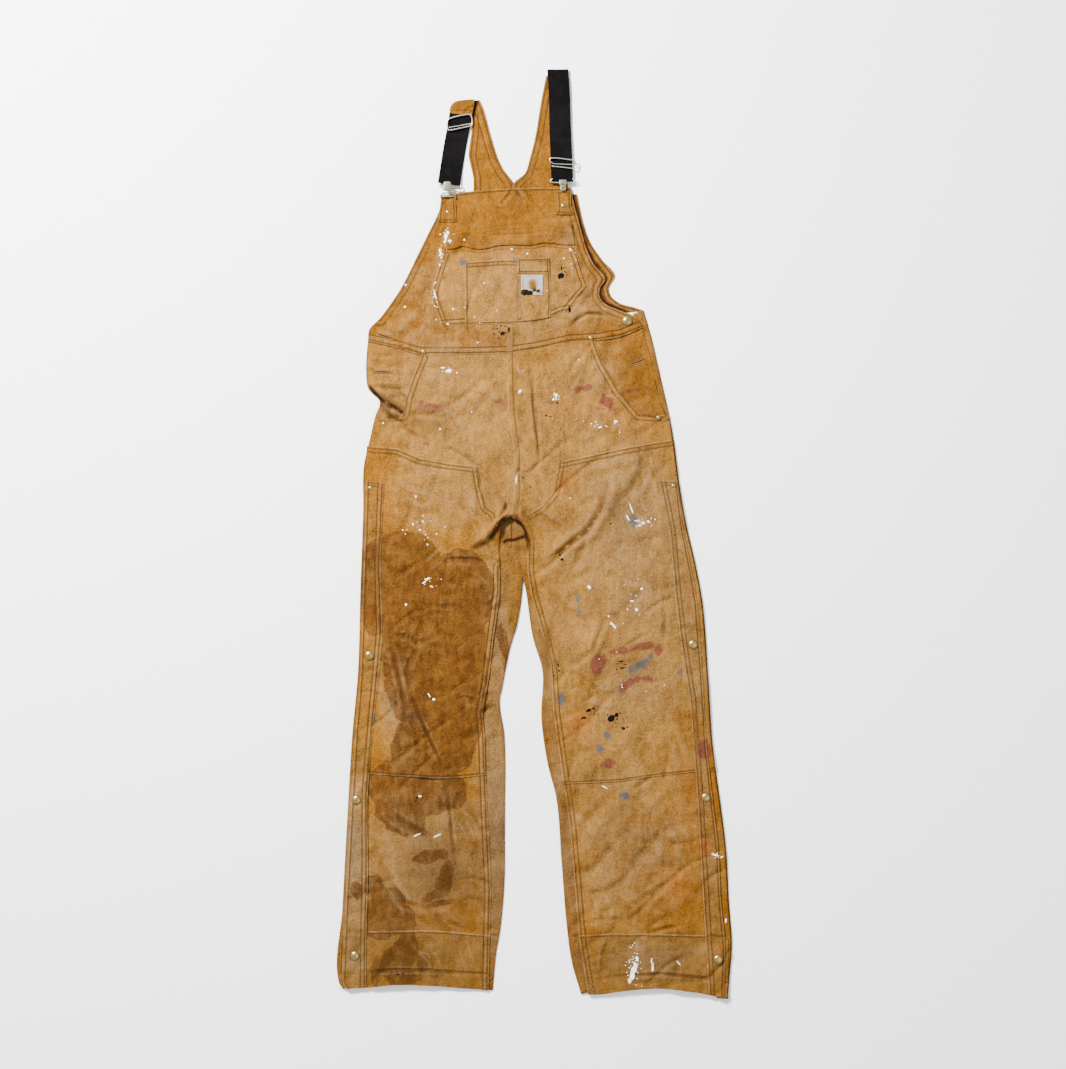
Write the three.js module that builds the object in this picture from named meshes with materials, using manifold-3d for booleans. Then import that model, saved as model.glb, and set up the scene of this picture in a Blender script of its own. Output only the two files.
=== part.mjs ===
// Paint spattered bib overalls laid out flat on their back, front up, arms of the straps above.
// Millimetres: +X across the garment, +Y from the hems towards the straps, +Z up from the table.
// "Left" and "right" are as seen from above, so the left leg has negative X.
import * as THREE from 'three';
import { mergeVertices } from 'three/addons/utils/BufferGeometryUtils.js';
import Module from 'manifold-3d';

const wasm = await Module();
wasm.setup();

// ---- Driving dimensions ----
const CLOTH = 1.5; // heavy cotton duck
const GAP = 0.3; // air between two pieces that touch
const LAYER = CLOTH + GAP; // rise from one laid panel to the panel on it
const TALL = 90; // height of the cutters, above any fold
const GRID = 48; // spacing of the points that shape the laid front
const WEB = 1.8; // elastic strap webbing
const WIRE = 2.2; // buckle wire
const SNAP_RADIUS = 8.5;
const SNAP_HEIGHT = 4;
const BUTTON_RADIUS = 9.5;
const RIVET_RADIUS = 4;
const RIVET_HEIGHT = 1.6;
const SPACE_STEP = 12; // how finely a hard piece feels for the cloth under it

// ---- Colours ----
const DUCK = 0xc08a52;
const DUCK_DEEP = 0xb87a3d;
const DUCK_GREY = 0xa5784f;
const BLACK = 0x2d2629;
const BRASS = 0xcdb25e;
const STEEL = 0xd8d3cc;
const CREAM = 0xd9d2ac;
const OFF_WHITE = 0xe9e2d8;

// ---- Seam lines and edges, each a list of [x, y] ----
const SIDE_LEFT = [ // the outer fold of the left leg, waist to hem
  [-289, 351], [-293, 310], [-294, 280], [-290, 250], [-270, 227], [-278, 203], [-287, 165],
  [-298, 115], [-299, 40], [-304, -100], [-308, -240], [-318, -350], [-327, -500], [-335, -650],
  [-341, -780], [-334, -791],
];
const HEM_LEFT = [[-300, -790], [-245, -784], [-190, -785], [-120, -790], [-74, -793]];
const CREASE_LEFT = [ // the inner fold of the left leg, hem to crotch
  [-68, -730], [-60, -680], [-54, -610], [-53, -500], [-54, -350], [-62, -290], [-57, -265],
  [-44, -200], [-32, -160], [-22, -90],
];
const CROTCH = [-20, -66];
const CREASE_RIGHT = [ // the inner fold of the right leg, crotch to hem
  [-17, -100], [-5, -180], [12, -240], [10, -320], [21, -400], [36, -460], [45, -570],
  [55, -690], [63, -745], [79, -800],
];
const HEM_RIGHT = [[110, -800], [160, -793], [220, -790], [280, -797], [334, -808]];
const SIDE_RIGHT = [ // the outer fold of the right leg, hem to waist
  [337, -770], [341, -715], [336, -640], [331, -550], [320, -460], [308, -370], [300, -250],
  [290, -120], [277, -50], [263, 10], [250, 85], [240, 162],
];
const HIP_RIGHT = [[226, 232], [215, 280], [200, 345], [188, 386]]; // back edge past the front
const FRONT_HIP_RIGHT = [[217, 236], [205, 300], [191, 350]]; // turned edge of the front
const BIB_LEFT = [[-163, 585], [-164, 569], [-192, 508], [-235, 422], [-270, 372]];
const BIB_TOP = [[62, 598], [0, 598], [-50, 597], [-106, 593]];
const BIB_RIGHT = [
  [177, 376], [150, 391], [125, 403], [116, 415], [117, 424], [127, 440], [105, 470],
  [93, 496], [80, 540], [70, 575],
];
const BACK_ARM_RIGHT = [ // the back's armhole edge, standing out past the bib
  [170, 392], [148, 398], [131, 411], [127, 424], [138, 446], [115, 475], [95, 505], [84, 535],
];
const WAIST = [ // the felled seam under the bib, left to right
  [-290, 332], [-240, 321], [-200, 309], [-120, 309], [-50, 311], [0, 318], [60, 331],
  [110, 334], [150, 341], [186, 356],
];
const FLY = [[-49, 250], [-46, 200], [-38, 140], [-38, 100], [-37, 66], [-44, 27]];
const INSEAM_LEFT = [ // front seam beside the inner fold, crotch to hem
  [-60, 16], [-66, -8], [-62, -60], [-62, -100], [-72, -180], [-82, -260], [-91, -312],
  [-88, -350], [-84, -460], [-77, -620], [-79, -700], [-81, -793],
];
const INSEAM_RIGHT = [
  [-28, 18], [-19, 2], [-14, -24], [-14, -66], [-8, -105], [5, -150], [26, -232], [31, -310],
  [45, -410], [58, -500], [67, -600], [77, -715], [91, -800],
];
const POCKET_LEFT = [[-198, 306], [-215, 265], [-225, 235], [-230, 207]]; // slant mouths
const POCKET_RIGHT = [[103, 333], [118, 295], [145, 248], [180, 207], [223, 205]];
const FLAP_LEFT = [ // seam of the side zip flap, top to hem
  [-262, 84], [-268, -60], [-265, -170], [-277, -300], [-290, -450], [-290, -600],
  [-292, -690], [-293, -789],
];
const FLAP_RIGHT = [
  [214, 90], [232, 0], [242, -110], [253, -200], [267, -290], [280, -460], [288, -600],
  [294, -697], [300, -800],
];
const KNEE_TOP_LEFT = [[-289, 151], [-240, 147], [-200, 130], [-150, 121], [-99, 115]];
const KNEE_IN_LEFT = [[-96, 80], [-85, 45], [-67, 33]];
const KNEE_TOP_RIGHT = [[40, 123], [100, 136], [150, 147], [200, 156], [239, 162]];
const KNEE_IN_RIGHT = [[-22, 30], [15, 49], [35, 74]];
const KNEE_END_LEFT = [[-287, -419], [-228, -422], [-145, -425], [-87, -420]];
const KNEE_END_RIGHT = [[48, -435], [100, -433], [150, -430], [190, -424], [276, -414]];
const HEM_SEAM_LEFT = [[-292, -690], [-200, -688], [-150, -690], [-79, -697]];
const HEM_SEAM_RIGHT = [[76, -697], [130, -694], [200, -694], [294, -697]];

const reversed = (line) => [...line].reverse();
const SIDE_FOLDS = [SIDE_LEFT.slice(5, 15), SIDE_RIGHT]; // where a leg's side is closed

// ---- Folds of the front: [x, y] to [x, y], height, half width ----
const FOLDS = [
  [[-296, 246], [-222, 208], 9, 16], // the hip turned down over the thigh
  [[-226, 203], [-150, 214], 5, 16],
  [[-215, 150], [-110, 108], 5, 26],
  [[-100, -12], [-62, 12], 9, 17], // bunched cloth over the crotch
  [[-62, 12], [-36, 34], 9, 17],
  [[-36, 34], [-4, -20], 9, 17],
  [[-150, -25], [-70, -40], 5, 18],
  [[-245, -190], [-228, -330], 5, 20],
  [[-208, -200], [-160, -400], 6, 24],
  [[-160, -400], [-136, -590], 5, 22],
  [[-270, -560], [-215, -660], 4, 22],
  [[-185, -652], [-120, -656], 5, 14],
  [[20, -52], [110, 30], 6, 24],
  [[110, 30], [190, 150], 5, 28],
  [[128, -140], [88, -215], 5, 22],
  [[236, -330], [262, -420], 5, 22],
  [[62, 365], [130, 384], 4, 16],
  [[60, 262], [100, 326], 4, 20],
];
const BODY_AXIS = [[-40, 600], [-45, 100]]; // the middle of the body and of each leg
const LEG_AXES = [[[-150, 60], [-205, -800]], [[110, 60], [208, -800]]];
const BODY_HALF = 190;
const LEG_HALF = 105;
const LOFT = 2.2; // how far the middle of a laid tube stands off the back

function segmentDistance([x, y], [ax, ay], [bx, by]) {
  const [dx, dy] = [bx - ax, by - ay];
  const along = ((x - ax) * dx + (y - ay) * dy) / (dx * dx + dy * dy);
  const t = Math.min(Math.max(along, 0), 1);
  return Math.hypot(x - ax - t * dx, y - ay - t * dy);
}

// Height of the front's underside over a flat table: soft tubes, then the folds on them.
function formHeight(x, y) {
  const swell = (axis, half) => Math.max(0, 1 - (segmentDistance([x, y], ...axis) / half) ** 2);
  const tubes = LEG_AXES.map((axis) => swell(axis, LEG_HALF));
  let height = LAYER + LOFT * Math.max(swell(BODY_AXIS, BODY_HALF), ...tubes);
  for (const [from, to, rise, half] of FOLDS) {
    height += rise * Math.exp(-((segmentDistance([x, y], from, to) / half) ** 2));
  }
  return height;
}

// ---- The laid sheet: one grid of points, given twice to make a wall of cloth ----
const LOW = [-360, -828];
const COLUMNS = Math.ceil(-2 * LOW[0] / GRID);
const ROWS = Math.ceil(-2 * LOW[1] / GRID);
const HEIGHTS = [];
for (let row = 0; row <= ROWS; row += 1) {
  for (let column = 0; column <= COLUMNS; column += 1) {
    HEIGHTS.push(formHeight(LOW[0] + column * GRID, LOW[1] + row * GRID));
  }
}
const gridIndex = (column, row) => row * (COLUMNS + 1) + column;

// Height of the faceted sheet at a point, level 1 being the front panels themselves.
function sheetHeight(x, y, level = 1) {
  const column = Math.floor((x - LOW[0]) / GRID);
  const row = Math.floor((y - LOW[1]) / GRID);
  const u = (x - LOW[0]) / GRID - column;
  const v = (y - LOW[1]) / GRID - row;
  const at = (i, j) => HEIGHTS[gridIndex(column + i, row + j)];
  const slope = u > v
    ? at(0, 0) + u * (at(1, 0) - at(0, 0)) + v * (at(1, 1) - at(1, 0))
    : at(0, 0) + v * (at(0, 1) - at(0, 0)) + u * (at(1, 1) - at(0, 1));
  return slope + (level - 1) * LAYER;
}

function toSolid(positions, triangles) {
  const mesh = new wasm.Mesh({
    numProp: 3,
    vertProperties: new Float32Array(positions),
    triVerts: new Uint32Array(triangles),
  });
  return new wasm.Manifold(mesh);
}

// The solid between two surfaces over the grid, each given by its height from the laid form.
function gridSolid(bottom, top) {
  const positions = [];
  for (const surface of [bottom, top]) {
    for (let row = 0; row <= ROWS; row += 1) {
      for (let column = 0; column <= COLUMNS; column += 1) {
        const z = surface(HEIGHTS[gridIndex(column, row)]);
        positions.push(LOW[0] + column * GRID, LOW[1] + row * GRID, z);
      }
    }
  }
  const upper = (COLUMNS + 1) * (ROWS + 1);
  const triangles = [];
  for (let row = 0; row < ROWS; row += 1) {
    for (let column = 0; column < COLUMNS; column += 1) {
      const [a, b] = [gridIndex(column, row), gridIndex(column + 1, row)];
      const [c, d] = [gridIndex(column + 1, row + 1), gridIndex(column, row + 1)];
      triangles.push(a, c, b, a, d, c);
      triangles.push(upper + a, upper + b, upper + c, upper + a, upper + c, upper + d);
    }
  }
  const rim = [];
  for (let column = 0; column < COLUMNS; column += 1) rim.push(gridIndex(column, 0));
  for (let row = 0; row < ROWS; row += 1) rim.push(gridIndex(COLUMNS, row));
  for (let column = COLUMNS; column > 0; column -= 1) rim.push(gridIndex(column, ROWS));
  for (let row = ROWS; row > 0; row -= 1) rim.push(gridIndex(0, row));
  rim.forEach((from, index) => {
    const to = rim[(index + 1) % rim.length];
    triangles.push(from, to, upper + to, from, upper + to, upper + from);
  });
  return toSolid(positions, triangles);
}

const SHEETS = [0, 1, 2, 3].map((step) => gridSolid(
  (form) => form + step * LAYER,
  (form) => form + step * LAYER + CLOTH,
));
const UNDER_FRONT = gridSolid(() => 0, (form) => form + CLOTH); // table to the front's top

// ---- Turning three.js geometry into solids and back ----
function solidOf(geometry) {
  const bare = geometry.clone();
  bare.deleteAttribute('normal');
  bare.deleteAttribute('uv');
  const merged = mergeVertices(bare, 1e-4);
  return toSolid(merged.attributes.position.array, merged.index.array);
}

function geometryOf(solid) {
  const { vertProperties, triVerts, numProp } = solid.getMesh();
  const geometry = new THREE.BufferGeometry();
  const positions = new Float32Array((vertProperties.length / numProp) * 3);
  for (let i = 0; i < positions.length; i += 1) {
    positions[i] = vertProperties[Math.floor(i / 3) * numProp + (i % 3)];
  }
  geometry.setAttribute('position', new THREE.BufferAttribute(positions, 3));
  geometry.setIndex(new THREE.BufferAttribute(new Uint32Array(triVerts), 1));
  geometry.computeVertexNormals();
  return geometry;
}

// Moves every side of an outline in by the given amount, keeping its corners sharp.
function inset(outline, amount) {
  const turn = THREE.ShapeUtils.area(outline.map(([x, y]) => new THREE.Vector2(x, y))) > 0 ? 1 : -1;
  return outline.map(([x, y], i) => {
    const [ax, ay] = outline[(i + outline.length - 1) % outline.length];
    const [bx, by] = outline[(i + 1) % outline.length];
    const before = new THREE.Vector2(x - ax, y - ay).normalize();
    const after = new THREE.Vector2(bx - x, by - y).normalize();
    const normal = new THREE.Vector2(-before.y - after.y, before.x + after.x).normalize();
    const spread = Math.max(0.4, normal.x * -before.y + normal.y * before.x);
    return [x + (turn * amount * normal.x) / spread, y + (turn * amount * normal.y) / spread];
  });
}

function shapeOf(outline) {
  return new THREE.Shape(outline.map(([x, y]) => new THREE.Vector2(x, y)));
}

function prism(outline, from, to) {
  const geometry = new THREE.ExtrudeGeometry(shapeOf(outline), {
    depth: to - from,
    bevelEnabled: false,
  });
  return geometry.translate(0, 0, from);
}

const part = new THREE.Group();

function addPiece(name, geometry, color, roughness = 0.95, metalness = 0) {
  const material = new THREE.MeshStandardMaterial({ color, roughness, metalness });
  const mesh = new THREE.Mesh(geometry, material);
  mesh.name = name;
  part.add(mesh);
}

// A strip of one width on the left of a line, going from its first point to its last.
function stripPrism(line, width, from, to) {
  const side = line.map(([x, y], i) => {
    const [ax, ay] = line[Math.max(i - 1, 0)];
    const [bx, by] = line[Math.min(i + 1, line.length - 1)];
    const long = Math.hypot(bx - ax, by - ay);
    return [x - (width * (by - ay)) / long, y + (width * (bx - ax)) / long];
  });
  return solidOf(prism([...line, ...reversed(side)], from, to));
}

// A piece cut from the laid sheet of one level, clear of the folds that close the legs' sides.
function laidPiece(name, level, outline, color) {
  const cutter = solidOf(prism(inset(outline, GAP / 2), -1, TALL));
  let solid = SHEETS[level - 1].intersect(cutter);
  if (level === 1) {
    for (const fold of SIDE_FOLDS) solid = solid.subtract(stripPrism(fold, LAYER, -1, TALL));
  }
  addPiece(name, geometryOf(solid), color);
}

// A piece that lies flat on the table.
function tablePiece(name, outline, color) {
  addPiece(name, prism(inset(outline, GAP / 2), 0, CLOTH), color);
}

// ---- Back: two legs that meet on the seat seam, the back of the bib, the two straps ----
const SEAT = [[-38, 336], [-38, 12]]; // the seat seam, waist to crotch

// A back leg is laid on the table, folds up at both sides and comes round to the front's inseam.
function backLeg(name, outline, sideFold, innerFold, turnedStrip) {
  const floor = solidOf(prism(inset(outline, GAP / 2), 0, CLOTH));
  const sideWall = stripPrism(sideFold, CLOTH, 0, TALL).intersect(UNDER_FRONT);
  const innerWall = stripPrism(innerFold, CLOTH, 0, TALL).intersect(UNDER_FRONT);
  const strip = SHEETS[0].intersect(solidOf(prism(inset(turnedStrip, GAP / 2), -1, TALL)));
  addPiece(name, geometryOf(floor.add(sideWall).add(innerWall).add(strip)), DUCK_GREY);
}

function addBack() {
  backLeg(
    'back_leg_left',
    [
      [-289, 336], ...SIDE_LEFT.slice(1), ...HEM_LEFT, ...CREASE_LEFT, CROTCH,
      [-24, -40], [-26, -16], ...reversed(SEAT),
    ],
    SIDE_FOLDS[0],
    [...HEM_LEFT.slice(-1), ...CREASE_LEFT],
    [HEM_LEFT.at(-1), ...CREASE_LEFT, CROTCH, [-24, -40], [-26, -16], ...INSEAM_LEFT.slice(1)],
  );
  backLeg(
    'back_leg_right',
    [
      ...SEAT, [-25, -16], [-23, -40], CROTCH, ...CREASE_RIGHT, ...HEM_RIGHT, ...SIDE_RIGHT,
      ...HIP_RIGHT.slice(0, 2), [202, 336],
    ],
    SIDE_FOLDS[1],
    CREASE_RIGHT,
    [...CREASE_RIGHT, ...reversed(INSEAM_RIGHT.slice(4))],
  );
  tablePiece('back_bib', [
    [-289, 336], [202, 336], ...HIP_RIGHT.slice(2), ...BACK_ARM_RIGHT, [70, 586],
    [-150, 586], [-164, 560], ...BIB_LEFT.slice(2), SIDE_LEFT[0],
  ], DUCK_DEEP);
  addTurnedStrap();
  tablePiece('back_strap_right', [
    [-38, 586], [56, 586], [58, 700], [56, 793], [18, 793], [8, 740], [0, 690], [-10, 650],
    [-18, 625], [-38, 606],
  ], DUCK_DEEP);
}

// The left strap lies on the table and turns forward over itself at its sewn end.
function addTurnedStrap() {
  const top = LAYER + CLOTH;
  const foldLine = [[-106, 750.5], [-140, 749]];
  const floor = solidOf(prism(inset([
    [-38, 586], [-38, 606], [-55, 630], [-65, 650], [-75, 680], [-83, 710], [-90, 735],
    [-97, 751], [-140, 749], [-147, 735], [-146, 727], [-113, 727], [-110, 700],
    [-116, 655], [-108, 615], [-105, 586],
  ], GAP / 2), 0, CLOTH));
  const end = solidOf(prism([
    [-147, 729], [-147, 735], ...reversed(foldLine), [-110, 729],
  ], LAYER, top));
  const fold = stripPrism(foldLine, CLOTH, 0, top);
  addPiece('back_strap_left', geometryOf(floor.add(end).add(fold)), DUCK_DEEP);
}

// ---- Front legs, split at the fly, with the pocket facings beyond their slant mouths ----
function addFront() {
  const waistLeft = WAIST.filter(([x]) => x > -198 && x < -49);
  const waistRight = WAIST.filter(([x]) => x > -49 && x < 103);
  laidPiece('front_leg_left', 1, [
    POCKET_LEFT[0], ...waistLeft, ...FLY, ...INSEAM_LEFT,
    ...reversed(HEM_LEFT.slice(0, 4)), ...reversed(SIDE_LEFT).slice(0, 12), [-262, 216],
    ...reversed(POCKET_LEFT).slice(0, 3),
  ], DUCK);
  laidPiece('front_leg_right', 1, [
    ...POCKET_RIGHT, ...reversed(SIDE_RIGHT), ...reversed(HEM_RIGHT),
    ...reversed(INSEAM_RIGHT), ...reversed(FLY), [-50, 311], ...waistRight,
  ], DUCK);
  laidPiece('hip_facing_left', 1, [
    [-290, 332], [-240, 321], ...POCKET_LEFT, [-262, 216], [-270, 227], [-290, 250],
    [-294, 280], [-293, 310],
  ], DUCK);
  laidPiece('hip_facing_right', 1, [
    POCKET_RIGHT[0], ...WAIST.slice(-3), ...reversed(FRONT_HIP_RIGHT),
    ...reversed(POCKET_RIGHT.slice(1)),
  ], DUCK_DEEP);
  laidPiece('front_bib', 1, [
    ...WAIST, ...BIB_RIGHT, ...BIB_TOP, ...BIB_LEFT, SIDE_LEFT[0],
  ], DUCK_DEEP);
}

// ---- Panels sewn on the legs: double knees, side zip flaps, hem bands ----
function addLegPanels() {
  laidPiece('knee_panel_left', 2, [
    ...KNEE_TOP_LEFT, ...KNEE_IN_LEFT, ...INSEAM_LEFT.slice(1, 9), ...reversed(KNEE_END_LEFT),
    ...reversed(FLAP_LEFT.slice(0, 4)), [-299, 84], [-297, 118],
  ], DUCK);
  laidPiece('knee_panel_right', 2, [
    ...reversed(KNEE_TOP_RIGHT), ...reversed(KNEE_IN_RIGHT), ...INSEAM_RIGHT.slice(1, 9),
    ...KNEE_END_RIGHT, ...reversed(FLAP_RIGHT.slice(0, 5)), [248, 90], [244, 120],
  ], DUCK);
  laidPiece('side_flap_left', 2, [
    ...FLAP_LEFT, ...reversed(SIDE_LEFT).slice(0, 8), [-299, 84],
  ], DUCK_GREY);
  laidPiece('side_flap_right', 2, [
    ...FLAP_RIGHT, [334, -806], ...SIDE_RIGHT.slice(0, 11), [248, 90],
  ], DUCK_GREY);
  laidPiece('hem_band_left', 2, [
    ...HEM_SEAM_LEFT, INSEAM_LEFT.at(-1), ...reversed(HEM_LEFT.slice(1, 4)), FLAP_LEFT.at(-1),
  ], DUCK_GREY);
  laidPiece('hem_band_right', 2, [
    ...reversed(HEM_SEAM_RIGHT), INSEAM_RIGHT.at(-1), ...HEM_RIGHT.slice(0, 4), FLAP_RIGHT.at(-1),
  ], DUCK_GREY);
}

// ---- Pieces sewn on the bib ----
function addBibPieces() {
  laidPiece('chest_pocket', 2, [
    [-157, 489], [-181, 415], [-162, 358], [-120, 361], [0, 367], [57, 379], [92, 427],
    [67, 497], [0, 497], [-60, 495], [-100, 489],
  ], DUCK);
  laidPiece('chest_flap', 3, [
    [-150, 526], [-157, 492], [-125, 496], [-100, 493], [-60, 499], [0, 500], [67, 501],
    [62, 534], [-45, 530],
  ], DUCK_DEEP);
  laidPiece('pen_pocket', 3, [
    [-122, 470], [-121, 363], [0, 369], [26, 374], [26, 446], [-31, 446], [-31, 475], [-60, 475],
  ], DUCK);
  laidPiece('pen_flap', 3, [[-30, 449], [-30, 475], [24, 475], [25, 449]], DUCK);
  laidPiece('label_patch', 4, [[-25, 413], [-24, 445], [12, 445], [12, 413]], OFF_WHITE);
  laidPiece('zip_top', 2, [[-50, 312], [-50, 357], [-38, 358], [-38, 313]], OFF_WHITE);
  laidPiece('bib_tab_left', 2, [[-163, 578], [-170, 541], [-135, 538], [-140, 578]], DUCK_DEEP);
  laidPiece('bib_tab_right', 2, [[36, 591], [35, 554], [67, 552], [62, 591]], DUCK_DEEP);
}

// ---- Hard pieces, each set down on the highest cloth under it ----
function restHeight(x, y, radius, level) {
  let height = 0;
  for (let dx = -radius; dx <= radius; dx += radius / SPACE_STEP) {
    for (let dy = -radius; dy <= radius; dy += radius / SPACE_STEP) {
      height = Math.max(height, sheetHeight(x + dx, y + dy, level));
    }
  }
  return height + CLOTH + GAP;
}

// A cap turned on a lathe: a flat seat, a short side and a domed top.
function capGeometry(radius, height, segments) {
  const profile = [
    [0, 0], [radius, 0], [radius * 0.9, height * 0.75], [0, height],
  ].map(([r, z]) => new THREE.Vector2(r, z));
  return new THREE.LatheGeometry(profile, segments).rotateX(Math.PI / 2);
}

function addCap(name, [x, y], radius, height, level, color) {
  const geometry = capGeometry(radius, height, 12);
  geometry.translate(x, y, restHeight(x, y, radius, level));
  addPiece(name, geometry, color, 0.4, 1);
}

function addFasteners() {
  const snaps = {
    snap_left_upper: [-288, -212],
    snap_left_middle: [-310, -462],
    snap_left_lower: [-314, -732],
    snap_right_upper: [273, -193],
    snap_right_middle: [295, -458],
    snap_right_lower: [316, -738],
  };
  for (const [name, place] of Object.entries(snaps)) {
    addCap(name, place, SNAP_RADIUS, SNAP_HEIGHT, 2, BRASS);
  }
  addCap('side_button', [159, 368], BUTTON_RADIUS, SNAP_HEIGHT, 1, BRASS);
  const rivets = {
    rivet_pocket_right_top: [96, 338, 1],
    rivet_pocket_right_end: [213, 200, 1],
    rivet_pocket_left_top: [-194, 314, 1],
    rivet_pocket_left_end: [-263, 189, 1],
    rivet_flap_left: [-286, 78, 2],
    rivet_flap_right: [239, 82, 2],
    rivet_tab_left: [-151, 557, 2],
    rivet_tab_right: [48, 567, 2],
  };
  for (const [name, [x, y, level]] of Object.entries(rivets)) {
    addCap(name, [x, y], RIVET_RADIUS, RIVET_HEIGHT, level, BRASS);
  }
}

// ---- Strap webbing, buckles and clasps ----
// A flat band along a line in plan, from its side outline of [distance along, height].
function bandGeometry([ax, ay], [bx, by], width, side) {
  const along = new THREE.Vector2(bx - ax, by - ay).normalize();
  const across = new THREE.Vector2(-along.y, along.x).multiplyScalar(width / 2);
  const geometry = new THREE.ExtrudeGeometry(shapeOf(side), { depth: 1, bevelEnabled: false });
  const position = geometry.attributes.position;
  for (let i = 0; i < position.count; i += 1) {
    const [s, z, w] = [position.getX(i), position.getY(i), 1 - 2 * position.getZ(i)];
    position.setXYZ(i, ax + along.x * s + across.x * w, ay + along.y * s + across.y * w, z);
  }
  geometry.computeVertexNormals();
  return geometry;
}

// A wire loop, a rounded rectangle lying flat, turned in plan about its middle.
function loopGeometry(width, length, wire, angle, [x, y, z]) {
  const rectangle = (w, l) => [[-w, -l], [w, -l], [w, l], [-w, l]].map(([u, v]) => [u / 2, v / 2]);
  const shape = shapeOf(rectangle(width, length));
  const hole = shapeOf(reversed(rectangle(width - 2 * wire, length - 2 * wire)));
  shape.holes.push(new THREE.Path(hole.getPoints()));
  const geometry = new THREE.ExtrudeGeometry(shape, { depth: wire, bevelEnabled: false });
  return geometry.rotateZ(angle).translate(x, y, z);
}

function addStraps() {
  const table = CLOTH + GAP; // over the back's cloth
  const webTop = table + WEB;
  const crest = webTop + GAP; // over the webbing
  const turn = 10; // the right webbing's turn down to the table, at its top
  const round = 1; // how far that turn is eased
  const rightLong = 193;
  addPiece('webbing_right', bandGeometry([38.5, 805], [46, 612], 37, [
    [turn, 0], [round, 0], [0, round], [0, webTop - round], [round, webTop],
    [rightLong, webTop], [rightLong, table], [turn, table],
  ]), BLACK, 0.85);
  const [dropFrom, dropTo, leftLong] = [16, 24, 118]; // off the strap's end, down to the table
  addPiece('webbing_left', bandGeometry([-130, 724], [-151, 606], 38, [
    [0, table], [dropFrom, table], [dropTo, 0], [leftLong, 0], [leftLong, WEB], [dropTo, WEB],
    [dropFrom, webTop], [0, webTop],
  ]), BLACK, 0.85);
  const metal = [0.35, 1];
  addPiece('adjuster_right', loopGeometry(46, 18, WIRE, -0.03, [47, 640, crest]), STEEL, ...metal);
  addPiece('adjuster_left', loopGeometry(44, 21, WIRE, 0.2, [-131, 711, crest]), STEEL, ...metal);
  addPiece('buckle_right', loopGeometry(46, 7, WIRE, -0.01, [47, 607, table]), STEEL, ...metal);
  addPiece('buckle_left', loopGeometry(42, 7, WIRE, 0.08, [-151, 600.5, table]), STEEL, ...metal);
  const claspLeft = prism([[-159, 592], [-146, 592], [-146, 609], [-159, 609]], 0, WIRE);
  const claspRight = prism([[41, 592], [54, 592], [54, 611], [41, 611]], 0, WIRE);
  const claspRise = restHeight(47, 590, 8, 1) + CLOTH; // clear of the turned edge of the bib
  addPiece('clasp_left', claspLeft.translate(0, 0, claspRise), CREAM, 0.5, 0.2);
  addPiece('clasp_right', claspRight.translate(0, 0, claspRise), CREAM, 0.5, 0.2);
  addPiece('tab_loop_left', loopGeometry(27, 10, WIRE, 0, [
    -151, 583.5, restHeight(-151, 583, 12, 1),
  ]), CREAM, ...metal);
}

addBack();
addFront();
addLegPanels();
addBibPieces();
addFasteners();
addStraps();

export default part;
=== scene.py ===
import math

import bmesh
import bpy
import numpy as np
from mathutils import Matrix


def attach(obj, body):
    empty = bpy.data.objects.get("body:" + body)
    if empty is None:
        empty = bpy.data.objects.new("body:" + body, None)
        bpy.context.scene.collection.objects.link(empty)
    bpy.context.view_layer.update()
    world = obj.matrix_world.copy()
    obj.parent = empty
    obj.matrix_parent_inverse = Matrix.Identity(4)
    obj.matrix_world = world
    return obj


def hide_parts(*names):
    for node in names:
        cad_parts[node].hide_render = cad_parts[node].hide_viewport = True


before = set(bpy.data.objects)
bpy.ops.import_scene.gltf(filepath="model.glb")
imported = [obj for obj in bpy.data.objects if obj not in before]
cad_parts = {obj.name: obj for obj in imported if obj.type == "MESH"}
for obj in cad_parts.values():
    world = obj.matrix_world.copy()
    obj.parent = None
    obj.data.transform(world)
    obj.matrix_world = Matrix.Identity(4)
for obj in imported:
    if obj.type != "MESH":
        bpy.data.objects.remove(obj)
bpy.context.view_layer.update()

# ---- Back legs ----
# The backs of both legs, brown cotton duck. Each lies flat on the floor, folds up round both sides
# of its leg, and comes forward inside the leg as a narrow strip to the inseam.
SIDE_LEFT = [
    (-334, -791), (-341, -780), (-335, -650), (-327, -500), (-318, -350), (-308, -240), (-304, -100),
    (-299, 40), (-298, 115), (-287, 165), (-278, 203), (-270, 227), (-290, 250), (-294, 280), (-293, 310),
    (-289, 351),
]
SIDE_RIGHT = [
    (334, -808), (337, -770), (341, -715), (336, -640), (331, -550), (320, -460), (308, -370), (300, -250),
    (290, -120), (277, -50), (263, 10), (250, 85), (240, 162), (226, 232), (215, 280), (200, 345),
    (188, 386),
]
CREASE_LEFT = [
    (-74, -793), (-68, -730), (-60, -680), (-54, -610), (-53, -500), (-54, -350), (-62, -290), (-57, -265),
    (-44, -200), (-32, -160), (-22, -90), (-23, -66), (-28, -45), (-29, -16),
]
CREASE_RIGHT = [
    (79, -800), (63, -745), (55, -690), (45, -570), (36, -460), (21, -400), (10, -320), (12, -240),
    (-5, -180), (-17, -100), (-25, -66), (-33, -30),
]
INSEAM_LEFT = [
    (-81, -793), (-79, -700), (-77, -620), (-84, -460), (-88, -350), (-91, -312), (-82, -260), (-72, -180),
    (-62, -100), (-62, -60), (-66, -8), (-60, 16), (-44, 27),
]
INSEAM_RIGHT = [
    (91, -800), (77, -715), (67, -600), (58, -500), (45, -410), (31, -310), (26, -232), (5, -150),
    (-8, -105), (-14, -66), (-14, -24), (-19, 2), (-28, 18), (-44, 27),
]
HEM_LEFT = [(-334, -791), (-300, -790), (-245, -784), (-190, -785), (-120, -790), (-81, -793)]
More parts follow.
